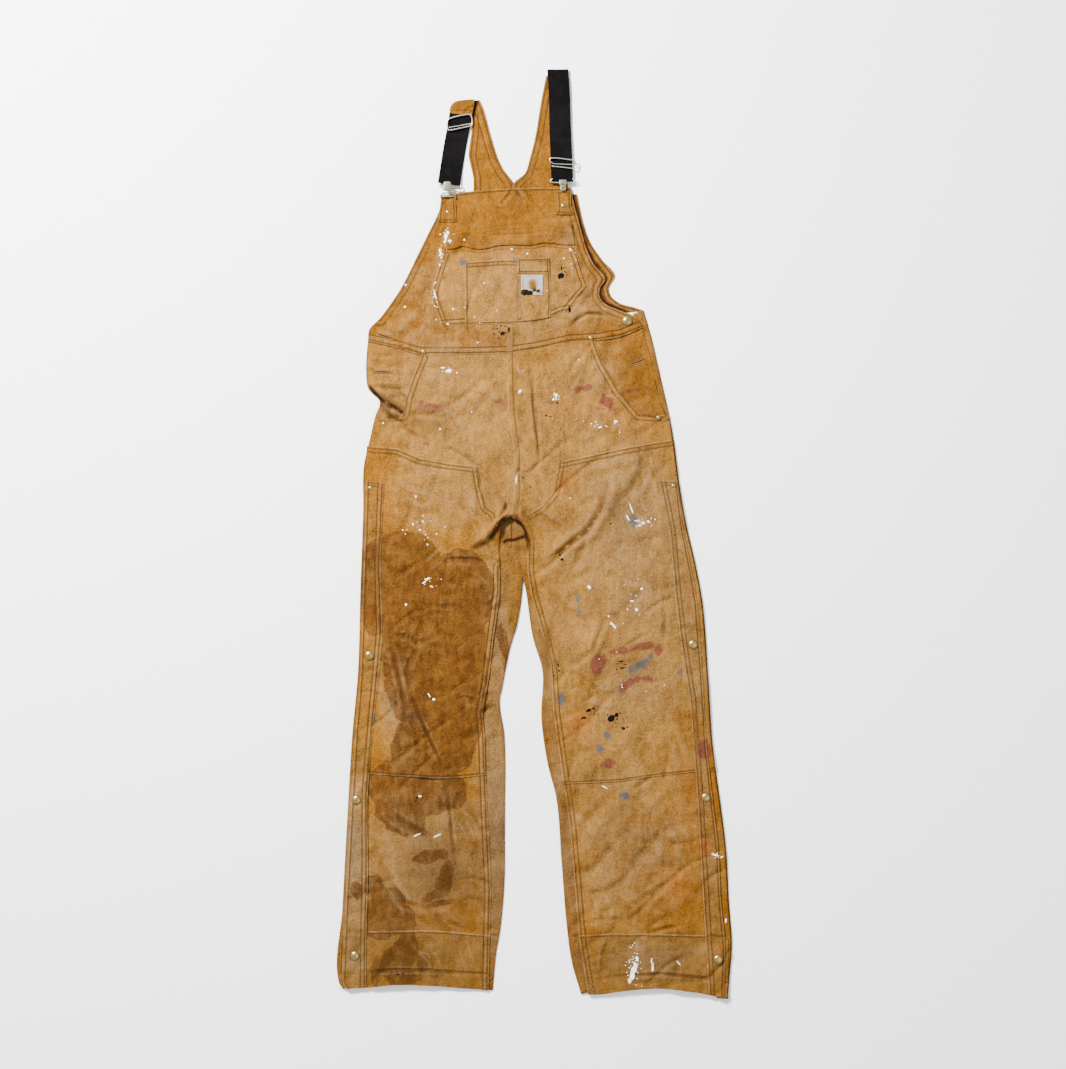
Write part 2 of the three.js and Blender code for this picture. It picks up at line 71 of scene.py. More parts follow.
HEM_RIGHT = [(91, -800), (110, -800), (160, -793), (220, -790), (280, -797), (334, -808)]
DUCK_THICKNESS = 1.1
BIB_RISE, LEG_RISE = 3.6, 5.2
MIDDLE_SWELL, SWELL_REACH = 3.4, 75
ROLL_DROP, ROLL_REACH = 2.1, 8
DEEPEST_CREASE = -2.6
FOLD_RADIUS, FOLD_WALL, FOLD_PITCH, FLOOR_GAP = 3.2, 1.5, 4.0, 0.02
MAKER_SEED = 41

# Ridges: a line, how far it rises, and its half width, all in millimetres.
RIDGES = [
    ([(-296, 246), (-222, 208)], 8, 15), ([(-226, 203), (-150, 214)], 4.5, 14),
    ([(-215, 150), (-110, 108)], 4.5, 22), ([(-100, -12), (-62, 12), (-36, 36), (-4, -20)], 8, 13),
    ([(-150, -25), (-70, -40)], 4.5, 15), ([(-245, -190), (-228, -330)], 5, 17),
    ([(-208, -200), (-186, -300), (-140, -400)], 5, 19), ([(-165, -400), (-150, -590)], 4.5, 18),
    ([(-262, -560), (-203, -660)], 4, 18), ([(-185, -664), (-120, -668)], 4.5, 14),
    ([(20, -44), (80, 0), (122, 50), (136, 100)], 5.5, 18), ([(110, 30), (190, 150)], 4.5, 26),
    ([(136, -140), (95, -225)], 4.5, 19), ([(236, -330), (262, -420)], 4.5, 18),
    ([(62, 372), (130, 390)], 3.5, 13), ([(60, 262), (100, 326)], 3.5, 17),
    ([(-90, 225), (-60, 130)], 2.5, 22), ([(30, -560), (190, -640)], 2.5, 30),
    ([(120, -480), (180, -430)], 3, 16), ([(150, -660), (250, -620)], 3, 22),
    ([(-285, -440), (-215, -560), (-170, -650)], 5, 15), ([(-255, -430), (-190, -520)], 4, 13),
    ([(-120, -520), (-100, -640)], 3.5, 12), ([(60, -470), (120, -560)], 3.5, 15),
    ([(200, -450), (250, -540)], 3.5, 16), ([(90, -620), (160, -590)], 3, 13),
    ([(-260, 60), (-180, -20)], 4, 17), ([(160, 60), (230, -40)], 4, 18), ([(60, -60), (150, -120)], 4, 17),
    ([(-180, 60), (-120, 10)], 3.5, 15), ([(-200, 270), (-100, 230)], 3.5, 13),
    ([(0, 260), (80, 180)], 3, 16), ([(-160, 190), (-80, 150)], 3.5, 15),
    ([(130, 190), (200, 150)], 3.5, 15), ([(-200, 470), (-180, 380)], 2.5, 13),
    ([(-130, 560), (-20, 575)], 2.2, 12), ([(20, 560), (50, 520)], 2, 11),
    ([(-120, 400), (-60, 440)], 1.6, 12), ([(-280, -30), (-200, -70)], 3.5, 15),
    ([(180, -330), (110, -380)], 3.5, 15),
]
# Creases: a line, its depth, its half width, and how dark it is painted, for dirt and painted shade in the
# crease.
CREASES = [
    ([(-225, 183), (-200, 165)], 1.6, 3, 0.8), ([(-228, 155), (-215, 142)], 1.4, 3, 0.7),
    ([(-150, 147), (-130, 138), (-110, 125), (-85, 108)], 1.8, 3.5, 0.6),
    ([(-170, -52), (-140, -46), (-88, -48)], 1.8, 3.5, 0.55), ([(-190, -60), (-150, -25)], 1.0, 4, 0.2),
    ([(-252, -180), (-243, -225), (-230, -280), (-224, -330)], 2.4, 3.6, 0.85),
    ([(-250, -180), (-225, -178), (-205, -190), (-175, -182)], 2.2, 3.4, 0.75),
    ([(-198, -195), (-217, -220), (-222, -240), (-215, -280)], 1.8, 3.6, 0.6),
    ([(-215, -280), (-198, -325), (-175, -375), (-155, -415)], 2.6, 2.6, 1.0),
    ([(-157, -420), (-150, -470), (-143, -540), (-132, -587)], 1.9, 2.6, 0.85),
    ([(-178, -126), (-135, -127)], 1.4, 3, 0.5), ([(-135, -285), (-98, -292)], 1.6, 4, 0.5),
    ([(-270, -470), (-240, -495), (-205, -515), (-185, -545)], 1.8, 5, 0.6),
    ([(-275, -560), (-245, -610), (-215, -660), (-195, -672)], 2.0, 5, 0.6),
    ([(-188, -650), (-165, -644), (-138, -641)], 2.4, 4.5, 0.95),
    ([(-160, -655), (-145, -675), (-112, -690)], 1.2, 3, 0.5),
    ([(130, 95), (112, 38), (90, 3), (60, -20), (40, -38), (20, -55), (-8, -78)], 3.4, 5.5, 0.8),
    ([(-290, 252), (-275, 240), (-265, 230), (-250, 221), (-235, 213), (-222, 204)], 4.2, 5.5, 1.5),
    ([(-291, 255), (-265, 253), (-240, 250), (-222, 251)], 2.0, 3.6, 0.75),
    ([(-240, 247), (-224, 236), (-222, 214)], 1.8, 4, 0.8),
    ([(-228, 203), (-205, 208), (-180, 206), (-150, 200)], 2.2, 4, 0.7),
    ([(-290, 300), (-262, 292)], 1.4, 4, 0.4), ([(-92, -312), (-80, -302), (-66, -300)], 2.4, 4, 0.8),
    ([(-90, -282), (-75, -278), (-62, -284)], 1.6, 4, 0.5),
    ([(-130, 60), (-100, 20), (-85, 0)], 1.4, 5, 0.3), ([(0, 95), (20, 60), (28, 30)], 1.2, 4, 0.3),
    ([(-10, 40), (20, 20), (60, 0)], 1.4, 5, 0.35), ([(-48, 30), (-60, 60), (-80, 90)], 1.2, 4, 0.3),
    ([(-160, -470), (-120, -500), (-95, -560)], 1.2, 5, 0.3),
    ([(-260, -600), (-230, -640), (-180, -655)], 1.6, 5, 0.4),
    ([(150, -440), (90, -500), (60, -560)], 1.4, 8, 0.25),
    ([(100, -610), (120, -650), (115, -690)], 1.4, 5, 0.3),
    ([(200, -480), (230, -540), (225, -600)], 1.0, 8, 0.15),
    ([(60, -90), (100, -60), (140, -30)], 1.2, 6, 0.25),
    ([(-255, 120), (-200, 90), (-140, 80)], 1.2, 8, 0.2), ([(130, 300), (80, 250), (70, 200)], 1.0, 7, 0.2),
    ([(-170, 250), (-120, 200), (-70, 190)], 1.0, 7, 0.2),
    ([(200, 120), (140, 110), (90, 90)], 1.2, 7, 0.25), ([(92, -5), (80, -30), (60, -70)], 1.6, 4, 0.55),
    ([(92, 8), (50, -25), (15, -60), (-5, -75)], 1.4, 4, 0.4),
    ([(205, 150), (175, 90), (150, 55)], 1.8, 7, 0.4),
    ([(120, -145), (103, -190), (98, -215)], 2.0, 3.6, 0.7),
    ([(95, -207), (70, -225), (55, -230)], 1.6, 3.6, 0.6), ([(225, -130), (222, -190)], 1.8, 4, 0.5),
    ([(240, -340), (258, -410)], 1.6, 5, 0.45), ([(95, 325), (68, 298), (52, 265)], 1.6, 4, 0.55),
    ([(8, 255), (18, 247)], 1.2, 3, 0.5), ([(190, -694), (215, -686), (250, -680)], 1.8, 3, 0.8),
    ([(160, -655), (190, -630), (225, -610)], 1.4, 5, 0.35), ([(165, -445), (205, -420)], 1.6, 4, 0.6),
    ([(60, 357), (75, 373), (90, 381), (110, 380), (130, 376)], 1.8, 3, 0.8),
    ([(-38, 598), (-26, 584), (-17, 574)], 1.6, 2.8, 0.8),
    ([(-38, 598), (-50, 582), (-62, 568)], 1.2, 2.8, 0.6), ([(-34, 588), (-20, 564)], 1.0, 2.6, 0.5),
    ([(-60, 575), (-52, 565)], 1.4, 2.6, 0.6), ([(-75, 565), (-52, 563)], 1.2, 2.6, 0.6),
    ([(-44, 58), (-62, 30)], 1.6, 2.6, 1.4), ([(-34, 26), (-17, 38)], 1.4, 2.4, 1.3),
    ([(-68, -110), (-83, -127)], 1.2, 2.6, 0.5), ([(-25, 112), (-35, 105)], 1.4, 2.6, 0.9),
    ([(-3, 110), (10, 80), (12, 50)], 1.2, 4, 0.3), ([(-235, 300), (-228, 262)], 1.4, 5, 0.35),
    ([(-100, 245), (-60, 205)], 1.2, 6, 0.25), ([(-75, 460), (-45, 395)], 0.8, 5, 0.25),
    ([(48, 470), (60, 410)], 1.0, 5, 0.3), ([(-185, 330), (-120, 335)], 0.8, 5, 0.2),
    ([(300, -95), (275, -80)], 1.2, 4, 0.4), ([(250, -165), (288, -160)], 1.4, 4, 0.5),
    ([(-300, -235), (-275, -238)], 1.4, 4, 0.5), ([(-95, -60), (-70, -85)], 1.6, 5, 0.3),
    ([(150, -200), (185, -178), (200, -172)], 1.2, 3, 0.5), ([(110, -660), (150, -640)], 1.2, 6, 0.3),
    ([(115, -770), (120, -725), (135, -690)], 1.4, 4, 0.5),
    ([(-215, -700), (-180, -735), (-160, -780)], 1.4, 4, 0.45), ([(-130, -700), (-110, -760)], 1.2, 4, 0.4),
    ([(-120, -480), (-95, -520)], 1.0, 5, 0.3), ([(55, 150), (95, 190), (100, 225)], 1.0, 6, 0.25),
    ([(-12, 300), (-6, 240), (0, 190), (3, 150), (3, 122), (-5, 108), (-27, 103)], 1.2, 2.8, 1.0),
    ([(-28, 372), (-28, 450)], 0.4, 2.2, 0.4), ([(-30, 30), (-30, 100)], 0.5, 2.2, 0.3),
    ([(-331, -763), (-245, -757), (-190, -757), (-120, -762), (-81, -765)], 0.7, 2.6, 0.85),
    ([(93, -772), (160, -765), (220, -763), (280, -769), (334, -778)], 0.7, 2.6, 0.85),
    ([(-335, -690), (-292, -690)], 0.8, 2.6, 0.7), ([(-81, -696), (-62, -697)], 0.8, 2.6, 0.7),
    ([(60, -697), (77, -697)], 0.8, 2.6, 0.7), ([(294, -697), (338, -700)], 0.8, 2.6, 0.7),
    ([(-282, 279), (-248, 278.5)], 0.9, 2.4, 1.2), ([(-275, 345), (-245, 336)], 0.9, 2.4, 1.2),
    ([(165, 292), (190, 302)], 0.9, 2.4, 1.2),
    ([(-283, 240), (-262, 214), (-245, 200), (-226, 190)], 1.8, 4.5, 1.3),
    ([(-262, 200), (-232, 202)], 1.2, 4.5, 1.2), ([(-45, 30), (-52, 50)], 1.2, 2.6, 0.9),
    ([(-36, 34), (-33, 52)], 1.0, 2.4, 0.7), ([(-100, -20), (-84, -12)], 1.4, 3.6, 1.2),
    ([(150, 120), (190, 80), (215, 20)], 1.2, 7, 0.2), ([(-250, 60), (-200, 30), (-160, 40)], 1.2, 7, 0.2),
    ([(30, -120), (80, -150), (120, -140)], 1.2, 6, 0.25),
    ([(70, -250), (110, -280), (170, -300)], 1.2, 6, 0.25),
    ([(-240, 330), (-200, 372), (-185, 400)], 0.8, 6, 0.25),
]


def along(x, y, line):
    """Signed distance from each point to the nearest stretch of a line, and how far along it that
    is, from 0 to 1: the foot of the perpendicular on each stretch, held between its two ends."""
    best = np.full(np.shape(x), 1e9)
    signed = np.zeros(np.shape(x))
    place = np.zeros(np.shape(x))
    lengths = [math.dist(a, b) for a, b in zip(line, line[1:])]
    start = 0.0
    for (ax, ay), (bx, by), length in zip(line, line[1:], lengths):
        ux, uy = (bx - ax) / length, (by - ay) / length
        s = np.clip((x - ax) * ux + (y - ay) * uy, 0, length)
        dx, dy = x - ax - s * ux, y - ay - s * uy
        d = np.hypot(dx, dy)
        nearer = d < best
        best = np.where(nearer, d, best)
        signed = np.where(nearer, np.where(ux * dy - uy * dx >= 0, d, -d), signed)
        place = np.where(nearer, (start + s) / sum(lengths), place)
        start += length
    return signed, place


def near(x, y, line, margin):
    """Which points are inside the box round a line, grown by a margin."""
    xs, ys = [p[0] for p in line], [p[1] for p in line]
    return ((x > min(xs) - margin) & (x < max(xs) + margin)
            & (y > min(ys) - margin) & (y < max(ys) + margin))


def reach(x, y, line):
    """Plain distance from each point to a line."""
    return np.abs(along(x, y, line)[0])


def ease(x, low, high):
    """3t^2 - 2t^3 of t, which goes from 0 at low to 1 at high."""
    t = np.clip((x - low) / (high - low), 0, 1)
    return t * t * (3 - 2 * t)


def bell(d, width):
    """exp(-(d / width)^2)."""
    return np.exp(-((d / width) ** 2))


def ripple(x, y, size, seed):
    """Smooth noise from -1 to 1: random values on a square lattice of the given size, blended
    between the four round each point with the ease curve."""
    draw = np.random.default_rng(seed)
    table = draw.uniform(-1, 1, (64, 64))
    u, v = x / size + 500, y / size + 500
    i, j = np.floor(u).astype(int), np.floor(v).astype(int)
    a, b = ease(u - i, 0, 1), ease(v - j, 0, 1)
    i, j, k, m = i % 64, j % 64, (i + 1) % 64, (j + 1) % 64
    low = table[i, j] * (1 - a) + table[k, j] * a
    high = table[i, m] * (1 - a) + table[k, m] * a
    return low * (1 - b) + high * b


def furrows(x, y, size, stretch, turn, seed):
    """Long thin wrinkles from 0 to 1: where smooth noise, stretched along one direction and bent by
    a second noise, passes through nought, and fading in and out with a third."""
    c, s = math.cos(math.radians(turn)), math.sin(math.radians(turn))
    bend = 0.5 * size * ripple(x, y, 2.1 * size, seed + 1)
    u, v = (x * c + y * s) / stretch, y * c - x * s + bend
    strength = ease(ripple(x, y, 3.2 * size, seed + 2), -0.25, 0.55)
    return strength * bell(ripple(u, v, size, seed), 0.2)


SILHOUETTES = [SIDE_LEFT, SIDE_RIGHT, CREASE_LEFT, CREASE_RIGHT]
# Furrows: the spacing, how many times longer than wide, the direction in degrees, depth and seed.
FURROWS = [(36, 2.6, 38, 2.9, 81), (32, 2.4, -42, 2.7, 84), (28, 2.8, 4, 2.2, 87), (42, 3.0, 78, 2.2, 90)]


def crumple(x, y):
    """Relief of the worn cloth: ridges as bells across their lines, creases as a trough with a
    lip on each side, noise at three sizes, and long furrows in four directions."""
    z = 0.5 + 1.6 * ripple(x, y, 62, 1) + 1.2 * ripple(x, y, 27, 2) + 0.5 * ripple(x, y, 13, 3)
    for size, stretch, turn, depth, seed in FURROWS:
        z -= depth * furrows(x, y, size, stretch, turn, seed)
    for line, rise, half in RIDGES:
        m = near(x, y, line, 2.6 * half)
        if m.any():
            d, t = along(x[m], y[m], line)
            z[m] += 0.8 * rise * bell(d, half) * np.sqrt(np.clip(4 * t * (1 - t), 0.12, 1))
    for line, depth, half, _ in CREASES:
        m = near(x, y, line, 6.5 * half)
        if m.any():
            d, t = along(x[m], y[m], line)
            fade = np.sqrt(np.clip(4 * t * (1 - t), 0.02, 1))
            z[m] -= 1.25 * depth * fade * (bell(d, half) - 0.6 * bell(d - 2.2 * half, 1.5 * half)
                                           - 0.4 * bell(d + 2.2 * half, 1.5 * half))
    return z


def laid(x, y):
    """Height of the front of the garment as it lies: a swell that grows inwards from the folds,
    a quarter ellipse down to each fold, and the crumple of the cloth."""
    d = np.min([reach(x, y, line) for line in SILHOUETTES], axis=0)
    leg = ease(y, 430, 250)
    swell = MIDDLE_SWELL * leg * ease(d, 0, SWELL_REACH)
    across = np.clip(d / ROLL_REACH, 0, 1)
    roll = ROLL_DROP * np.sqrt(np.clip(1 - (1 - across) ** 2, 0, 1)) - ROLL_DROP
    hold = 0.35 + 0.65 * ease(d, 0, 26)
    folds = hold * np.maximum(crumple(x, y), DEEPEST_CREASE)
    return BIB_RISE + (LEG_RISE - BIB_RISE) * leg + swell + roll + folds


def smooth_line(points, count, stations=None):
    """A line through the points: a cubic with each point's tangent taken from its two neighbours,
    cut up again at even lengths or at the stations given from 0 to 1."""
    p = np.array(points, float)
    if len(p) > 2:
        chord = np.hypot(*np.diff(p, axis=0).T)
        knots = np.concatenate([[0], np.cumsum(chord)])
        slope = np.diff(p, axis=0) / chord[:, None]
        tangent = np.vstack([slope[:1], (slope[1:] + slope[:-1]) / 2, slope[-1:]])
        s = np.linspace(0, knots[-1], 40 * len(p))
        k = np.clip(np.searchsorted(knots, s, side="right") - 1, 0, len(p) - 2)
        h = (knots[k + 1] - knots[k])[:, None]
        t = ((s - knots[k])[:, None]) / h
        p = ((2 * t**3 - 3 * t**2 + 1) * p[k] + (t**3 - 2 * t**2 + t) * h * tangent[k]
             + (3 * t**2 - 2 * t**3) * p[k + 1] + (t**3 - t**2) * h * tangent[k + 1])
    lengths = np.concatenate([[0], np.cumsum(np.hypot(*np.diff(p, axis=0).T))])
    at = (np.linspace(0, 1, count) if stations is None else stations) * lengths[-1]
    return np.stack([np.interp(at, lengths, p[:, 0]), np.interp(at, lengths, p[:, 1])], axis=1)


def length_of(points):
    """The sum of the distances from each point to the next."""
    return float(sum(math.dist(a, b) for a, b in zip(points, points[1:])))


def stations(length, pitch, fine_start, fine_end, hidden=()):
    """Places from 0 to 1 along an edge: close together over the first and last few millimetres
    where a seam runs, further apart where the cloth is hidden, and at the pitch elsewhere."""
    border = [0.5, 1.1, 1.8, 2.6, 3.4, 4.4, 5.6, 6.8, 7.8, 8.6, 9.4, 10.2, 11.2, 12.4, 14]
    plain = [0.6, 1.5, 3.0]
    start = [0.0] + (border if fine_start else plain)
    end = [0.0] + (border if fine_end else plain)
    places = list(start)
    while places[-1] + pitch < length - end[-1]:
        step = pitch
        if any(a * length < places[-1] < b * length - pitch for a, b in hidden):
            step = 4 * pitch
        places.append(places[-1] + step)
    places = [s for s in places if s < length - end[-1] - 0.4 * pitch or s <= 14]
    places += [length - e for e in reversed(end)]
    places = np.array(sorted(set(places)))
    return places[(places >= 0) & (places <= length)] / length


def patch(bottom, top, left, right, pitch, seams="", hidden=()):
    """Points of a four-sided piece: the mean of the blend between bottom and top and the blend
    between left and right, less the blend of its corners. seams names the sides, out of b, t, l
    and r, that carry a seam. Returns two arrays, one row for each place from bottom to top."""
    u = stations(length_of(bottom), pitch, "l" in seams, "r" in seams)
    v = stations(max(length_of(left), length_of(right)), pitch, "b" in seams, "t" in seams, hidden)
    low, high = smooth_line(bottom, 0, u), smooth_line(top, 0, u)
    west, east = smooth_line(left, 0, v), smooth_line(right, 0, v)
    u, v = u[None, :, None], v[:, None, None]
    grid = ((1 - v) * low[None] + v * high[None] + (1 - u) * west[:, None] + u * east[:, None]
            - (1 - u) * (1 - v) * low[0] - u * (1 - v) * low[-1]
            - (1 - u) * v * high[0] - u * v * high[-1])
    return grid[..., 0], grid[..., 1]


STAIN_EDGE = 24


def spread(x, y, spots, sharp=False):
    """How far inside the nearest spot each point is: 1 at the middle of an ellipse, a half on its
    outline and 0 outside it, times the spot's strength. A sharp spot goes from 0 to 1 over a band
    of millimetres at its outline instead. A spot is x, y, its two radii, its strength and, where
    it is turned, by how many degrees."""
    found = np.zeros(np.shape(x))
    for sx, sy, rx, ry, strength, *turn in spots:
        m = near(x, y, [(sx, sy)], 2 * max(rx, ry))
        if m.any():
            angle = math.radians(turn[0] if turn else 0)
            c, s = math.cos(angle), math.sin(angle)
            dx, dy = x[m] - sx, y[m] - sy
            u, v = (dx * c + dy * s) / rx, (dy * c - dx * s) / ry
            depth = 1 - np.hypot(u, v)
            if sharp:
                level = 0.5 * strength + depth * min(rx, ry) / STAIN_EDGE
            else:
                level = strength * (0.5 + 0.5 * depth)
            found[m] = np.maximum(found[m], np.clip(level, 0, 1))
    return found


# Where the cloth has faded, gone grey, been wetted, rusted or smeared, as spots.
FADED = [
    (-120, 200, 90, 110, 1, 20), (60, 190, 90, 120, 0.9), (150, 0, 95, 170, 1, 8), (180, -200, 90, 130, 1),
    (150, -330, 90, 90, 0.8), (-30, 410, 130, 60, 1), (60, -160, 50, 120, 0.8), (-150, 90, 70, 60, 0.85),
    (-40, 150, 60, 110, 0.8), (-240, -300, 22, 80, 1, 8), (-75, -480, 22, 150, 0.95),
    (-72, -120, 20, 120, 0.8, 10), (160, -520, 90, 90, 0.55), (-190, -500, 60, 40, 0.9),
    (-205, 260, 60, 60, 0.8), (120, -420, 90, 30, 0.8, 5), (-160, 300, 90, 50, 0.7),
    (-315, -560, 20, 120, 0.9), (60, 480, 18, 60, 0.5), (-90, 300, 60, 40, 0.8), (20, 60, 60, 60, 0.6),
    (-170, -590, 60, 30, 0.75), (120, -600, 60, 60, 0.5), (200, -740, 70, 30, 0.5),
]
GREYED = [
    (160, 20, 85, 130, 0.9, 10), (180, -110, 80, 70, 0.85), (170, -270, 80, 60, 0.8),
    (-310, -560, 20, 100, 1), (-245, -300, 20, 70, 0.9, 8), (-160, 270, 70, 60, 0.5),
    (110, 280, 25, 30, 0.6), (52, 518, 18, 16, 0.8), (-100, 60, 60, 40, 0.6), (-60, -500, 26, 110, 0.7),
    (150, -440, 90, 40, 0.6), (130, -560, 80, 70, 0.6), (60, -470, 22, 60, 0.5), (-185, -720, 110, 60, 0.5),
    (200, -740, 110, 50, 0.55), (-30, 440, 110, 50, 0.5), (-200, 20, 90, 30, 0.5), (90, -30, 50, 60, 0.6),
    (-150, -600, 80, 70, 0.4), (20, 260, 40, 40, 0.4), (-190, -570, 150, 150, 0.85),
    (180, -560, 150, 160, 0.7), (-72, -200, 22, 130, 0.5, 8), (300, -280, 22, 90, 0.6),
    (-315, -730, 26, 50, 0.8), (80, -740, 22, 50, 0.5),
]
WETTED = [
    (-230, -80, 75, 84, 1), (-130, -105, 58, 78, 1), (-205, -230, 62, 120, 0.9, 6),
    (-130, -260, 48, 130, 0.95), (-190, -370, 62, 60, 0.9), (-210, -440, 85, 52, 1),
    (-145, -448, 28, 34, 1), (-148, -370, 42, 50, 0.9, 20), (-56, -190, 10, 60, 0.8, 12),
    (-275, -120, 30, 60, 0.8), (-235, -485, 50, 34, 1, -35), (-205, -510, 30, 12, 0.9, -30),
    (-278, -612, 19, 20, 1.05), (-308, -620, 12, 18, 1), (-258, -655, 34, 40, 1.1, -20),
    (-235, -668, 26, 28, 1.1), (-228, -728, 22, 36, 1.15, -25), (-245, -745, 22, 30, 1.1),
    (-270, -690, 22, 14, 0.95), (-186, -560, 40, 13, 0.8, 8), (-158, -604, 15, 34, 0.9, -14),
    (-172, -628, 26, 12, 0.8, 20), (-275, -760, 12, 30, 0.8), (-232, -770, 34, 14, 0.95),
    (-195, -745, 14, 22, 0.6), (-270, -60, 40, 50, 0.85), (-165, -180, 80, 80, 0.9),
]
RUSTED = [
    (50, 85, 34, 26, 0.8), (75, -325, 24, 26, 1), (250, -610, 40, 36, 0.95), (290, -545, 24, 18, 1),
    (270, -440, 22, 40, 0.75), (-282, -150, 22, 30, 0.9), (-260, -430, 30, 18, 0.75),
    (-95, -120, 20, 40, 0.8, -20), (-150, -240, 50, 70, 0.6), (-40, 0, 22, 16, 0.45), (45, 40, 20, 20, 0.5),
    (210, -590, 30, 40, 0.6), (290, -330, 16, 40, 0.5), (-60, -640, 12, 40, 0.5), (310, -460, 12, 60, 0.7),
    (265, -120, 22, 60, 0.7), (200, 200, 50, 70, 0.4), (70, 200, 60, 70, 0.6), (-40, 545, 110, 34, 0.4),
    (-150, 330, 120, 20, 0.5), (85, 400, 30, 30, 0.5), (60, -690, 12, 40, 0.6), (10, 440, 60, 60, 0.3),
    (-270, 60, 22, 60, 0.6), (245, 40, 20, 60, 0.6), (-100, 90, 40, 30, 0.5),
]
MAROON = [
    (-182, 219, 34, 8, 0.8, 4), (-65, 228, 14, 8, 0.7), (86, 251, 26, 6, 0.9, 12), (122, 228, 14, 12, 0.8),
    (178, 248, 22, 4, 0.8, 6), (115, 204, 11, 6, 0.7), (-190, 155, 8, 6, 0.7), (-150, 147, 9, 5, 0.7),
    (108, -226, 13, 20, 1, -15), (150, -203, 22, 6, 0.95, 8), (188, -196, 24, 7, 1, 4),
    (212, -202, 9, 10, 0.95), (152, -268, 6, 12, 0.95, -25), (168, -256, 14, 6, 1, 30),
    (190, -252, 16, 4, 1, -4), (292, -375, 13, 16, 1.05), (85, -160, 9, 4, 0.8), (135, -140, 8, 7, 0.75),
    (125, -400, 17, 12, 0.7, 20), (-27, 490, 12, 7, 0.5), (60, -158, 8, 3, 0.6), (215, -170, 4, 9, 0.6, 10),
    (105, -410, 12, 7, 0.55), (-200, 227, 20, 4, 0.85, -6), (-166, 213, 20, 4, 0.85, 8),
    (-158, 228, 14, 3, 0.75), (122, 240, 18, 4, 0.85, 24), (110, 216, 15, 4, 0.8, -12),
    (136, 214, 11, 5, 0.85), (163, 246, 15, 4, 0.8, 6), (192, 251, 12, 4, 0.8, -8),
    (98, 258, 13, 3, 0.7, 32), (130, 222, 8, 12, 0.8, 10), (60, 241, 14, 3, 0.6, 10), (-60, 221, 8, 4, 0.6),
]
BLUED = [
    (-127, 470, 9, 8, 0.8), (-35, 473, 7, 5, 0.8), (125, 50, 9, 7, 0.6), (163, 47, 8, 8, 0.6),
    (168, 22, 8, 12, 0.75), (182, -228, 24, 8, 0.9, 26), (200, -214, 8, 12, 0.7), (45, -287, 10, 14, 0.75),
    (72, -110, 5, 12, 0.8, 10), (75, -136, 4, 10, 0.75), (112, -375, 10, 14, 0.6),
    (-208, -318, 20, 9, 0.95), (125, -350, 10, 12, 0.5), (168, -243, 8, 6, 0.75), (-225, -285, 6, 18, 0.5),
    (-280, -320, 10, 20, 0.3), (155, -455, 14, 12, 0.5), (-75, 300, 10, 8, 0.35), (100, -95, 12, 10, 0.4),
    (250, -240, 10, 14, 0.35),
]
CHALKED = [
    (-27, 280, 10, 9, 0.7), (-27, 245, 6, 6, 0.8), (112, 183, 8, 5, 0.8), (140, 193, 5, 4, 0.8),
    (178, -718, 16, 9, 0.75, 20), (185, 18, 9, 5, 0.9), (-225, -330, 20, 24, 0.5),
    (175, -290, 26, 20, 0.45), (-150, 280, 9, 6, 0.75), (-205, 10, 12, 10, 0.6), (-155, 513, 7, 10, 0.8),
    (205, -135, 14, 14, 0.45), (-30, 100, 3, 10, 0.7), (130, -290, 20, 12, 0.35), (150, -90, 40, 20, 0.3),
    (34, 235, 7, 9, 0.75), (215, 5, 20, 26, 0.3), (-270, 20, 20, 30, 0.3), (40, -430, 20, 8, 0.4),
    (-175, 410, 5, 12, 0.7, 20),
]


SOILED = [
    (-150, -600, 130, 160, 0.62), (-200, -740, 150, 70, 0.62), (-120, -500, 60, 80, 0.55),
    (200, -740, 170, 60, 0.56), (170, -560, 130, 120, 0.32), (-310, -700, 40, 100, 0.5),
    (-72, -620, 24, 180, 0.45), (-255, 222, 40, 22, 0.7, -30), (-205, 190, 50, 26, 0.5, -15),
    (-60, 60, 60, 50, 0.36), (-20, 25, 60, 34, 0.5), (110, 240, 60, 34, 0.35), (170, 290, 26, 70, 0.42, 15),
    (90, 0, 80, 60, 0.35, 40), (-230, -240, 30, 110, 0.3, 5), (110, -420, 60, 30, 0.35),
    (20, -200, 14, 200, 0.5, -8), (50, -520, 14, 200, 0.5, -8), (-55, 345, 34, 20, 0.45),
    (-280, 340, 16, 26, 0.4), (60, 430, 40, 40, 0.35), (-100, 30, 50, 30, 0.3), (155, -220, 70, 40, 0.35),
    (-20, 210, 26, 80, 0.35), (250, -420, 34, 40, 0.35), (-40, 500, 90, 12, 0.35),
]


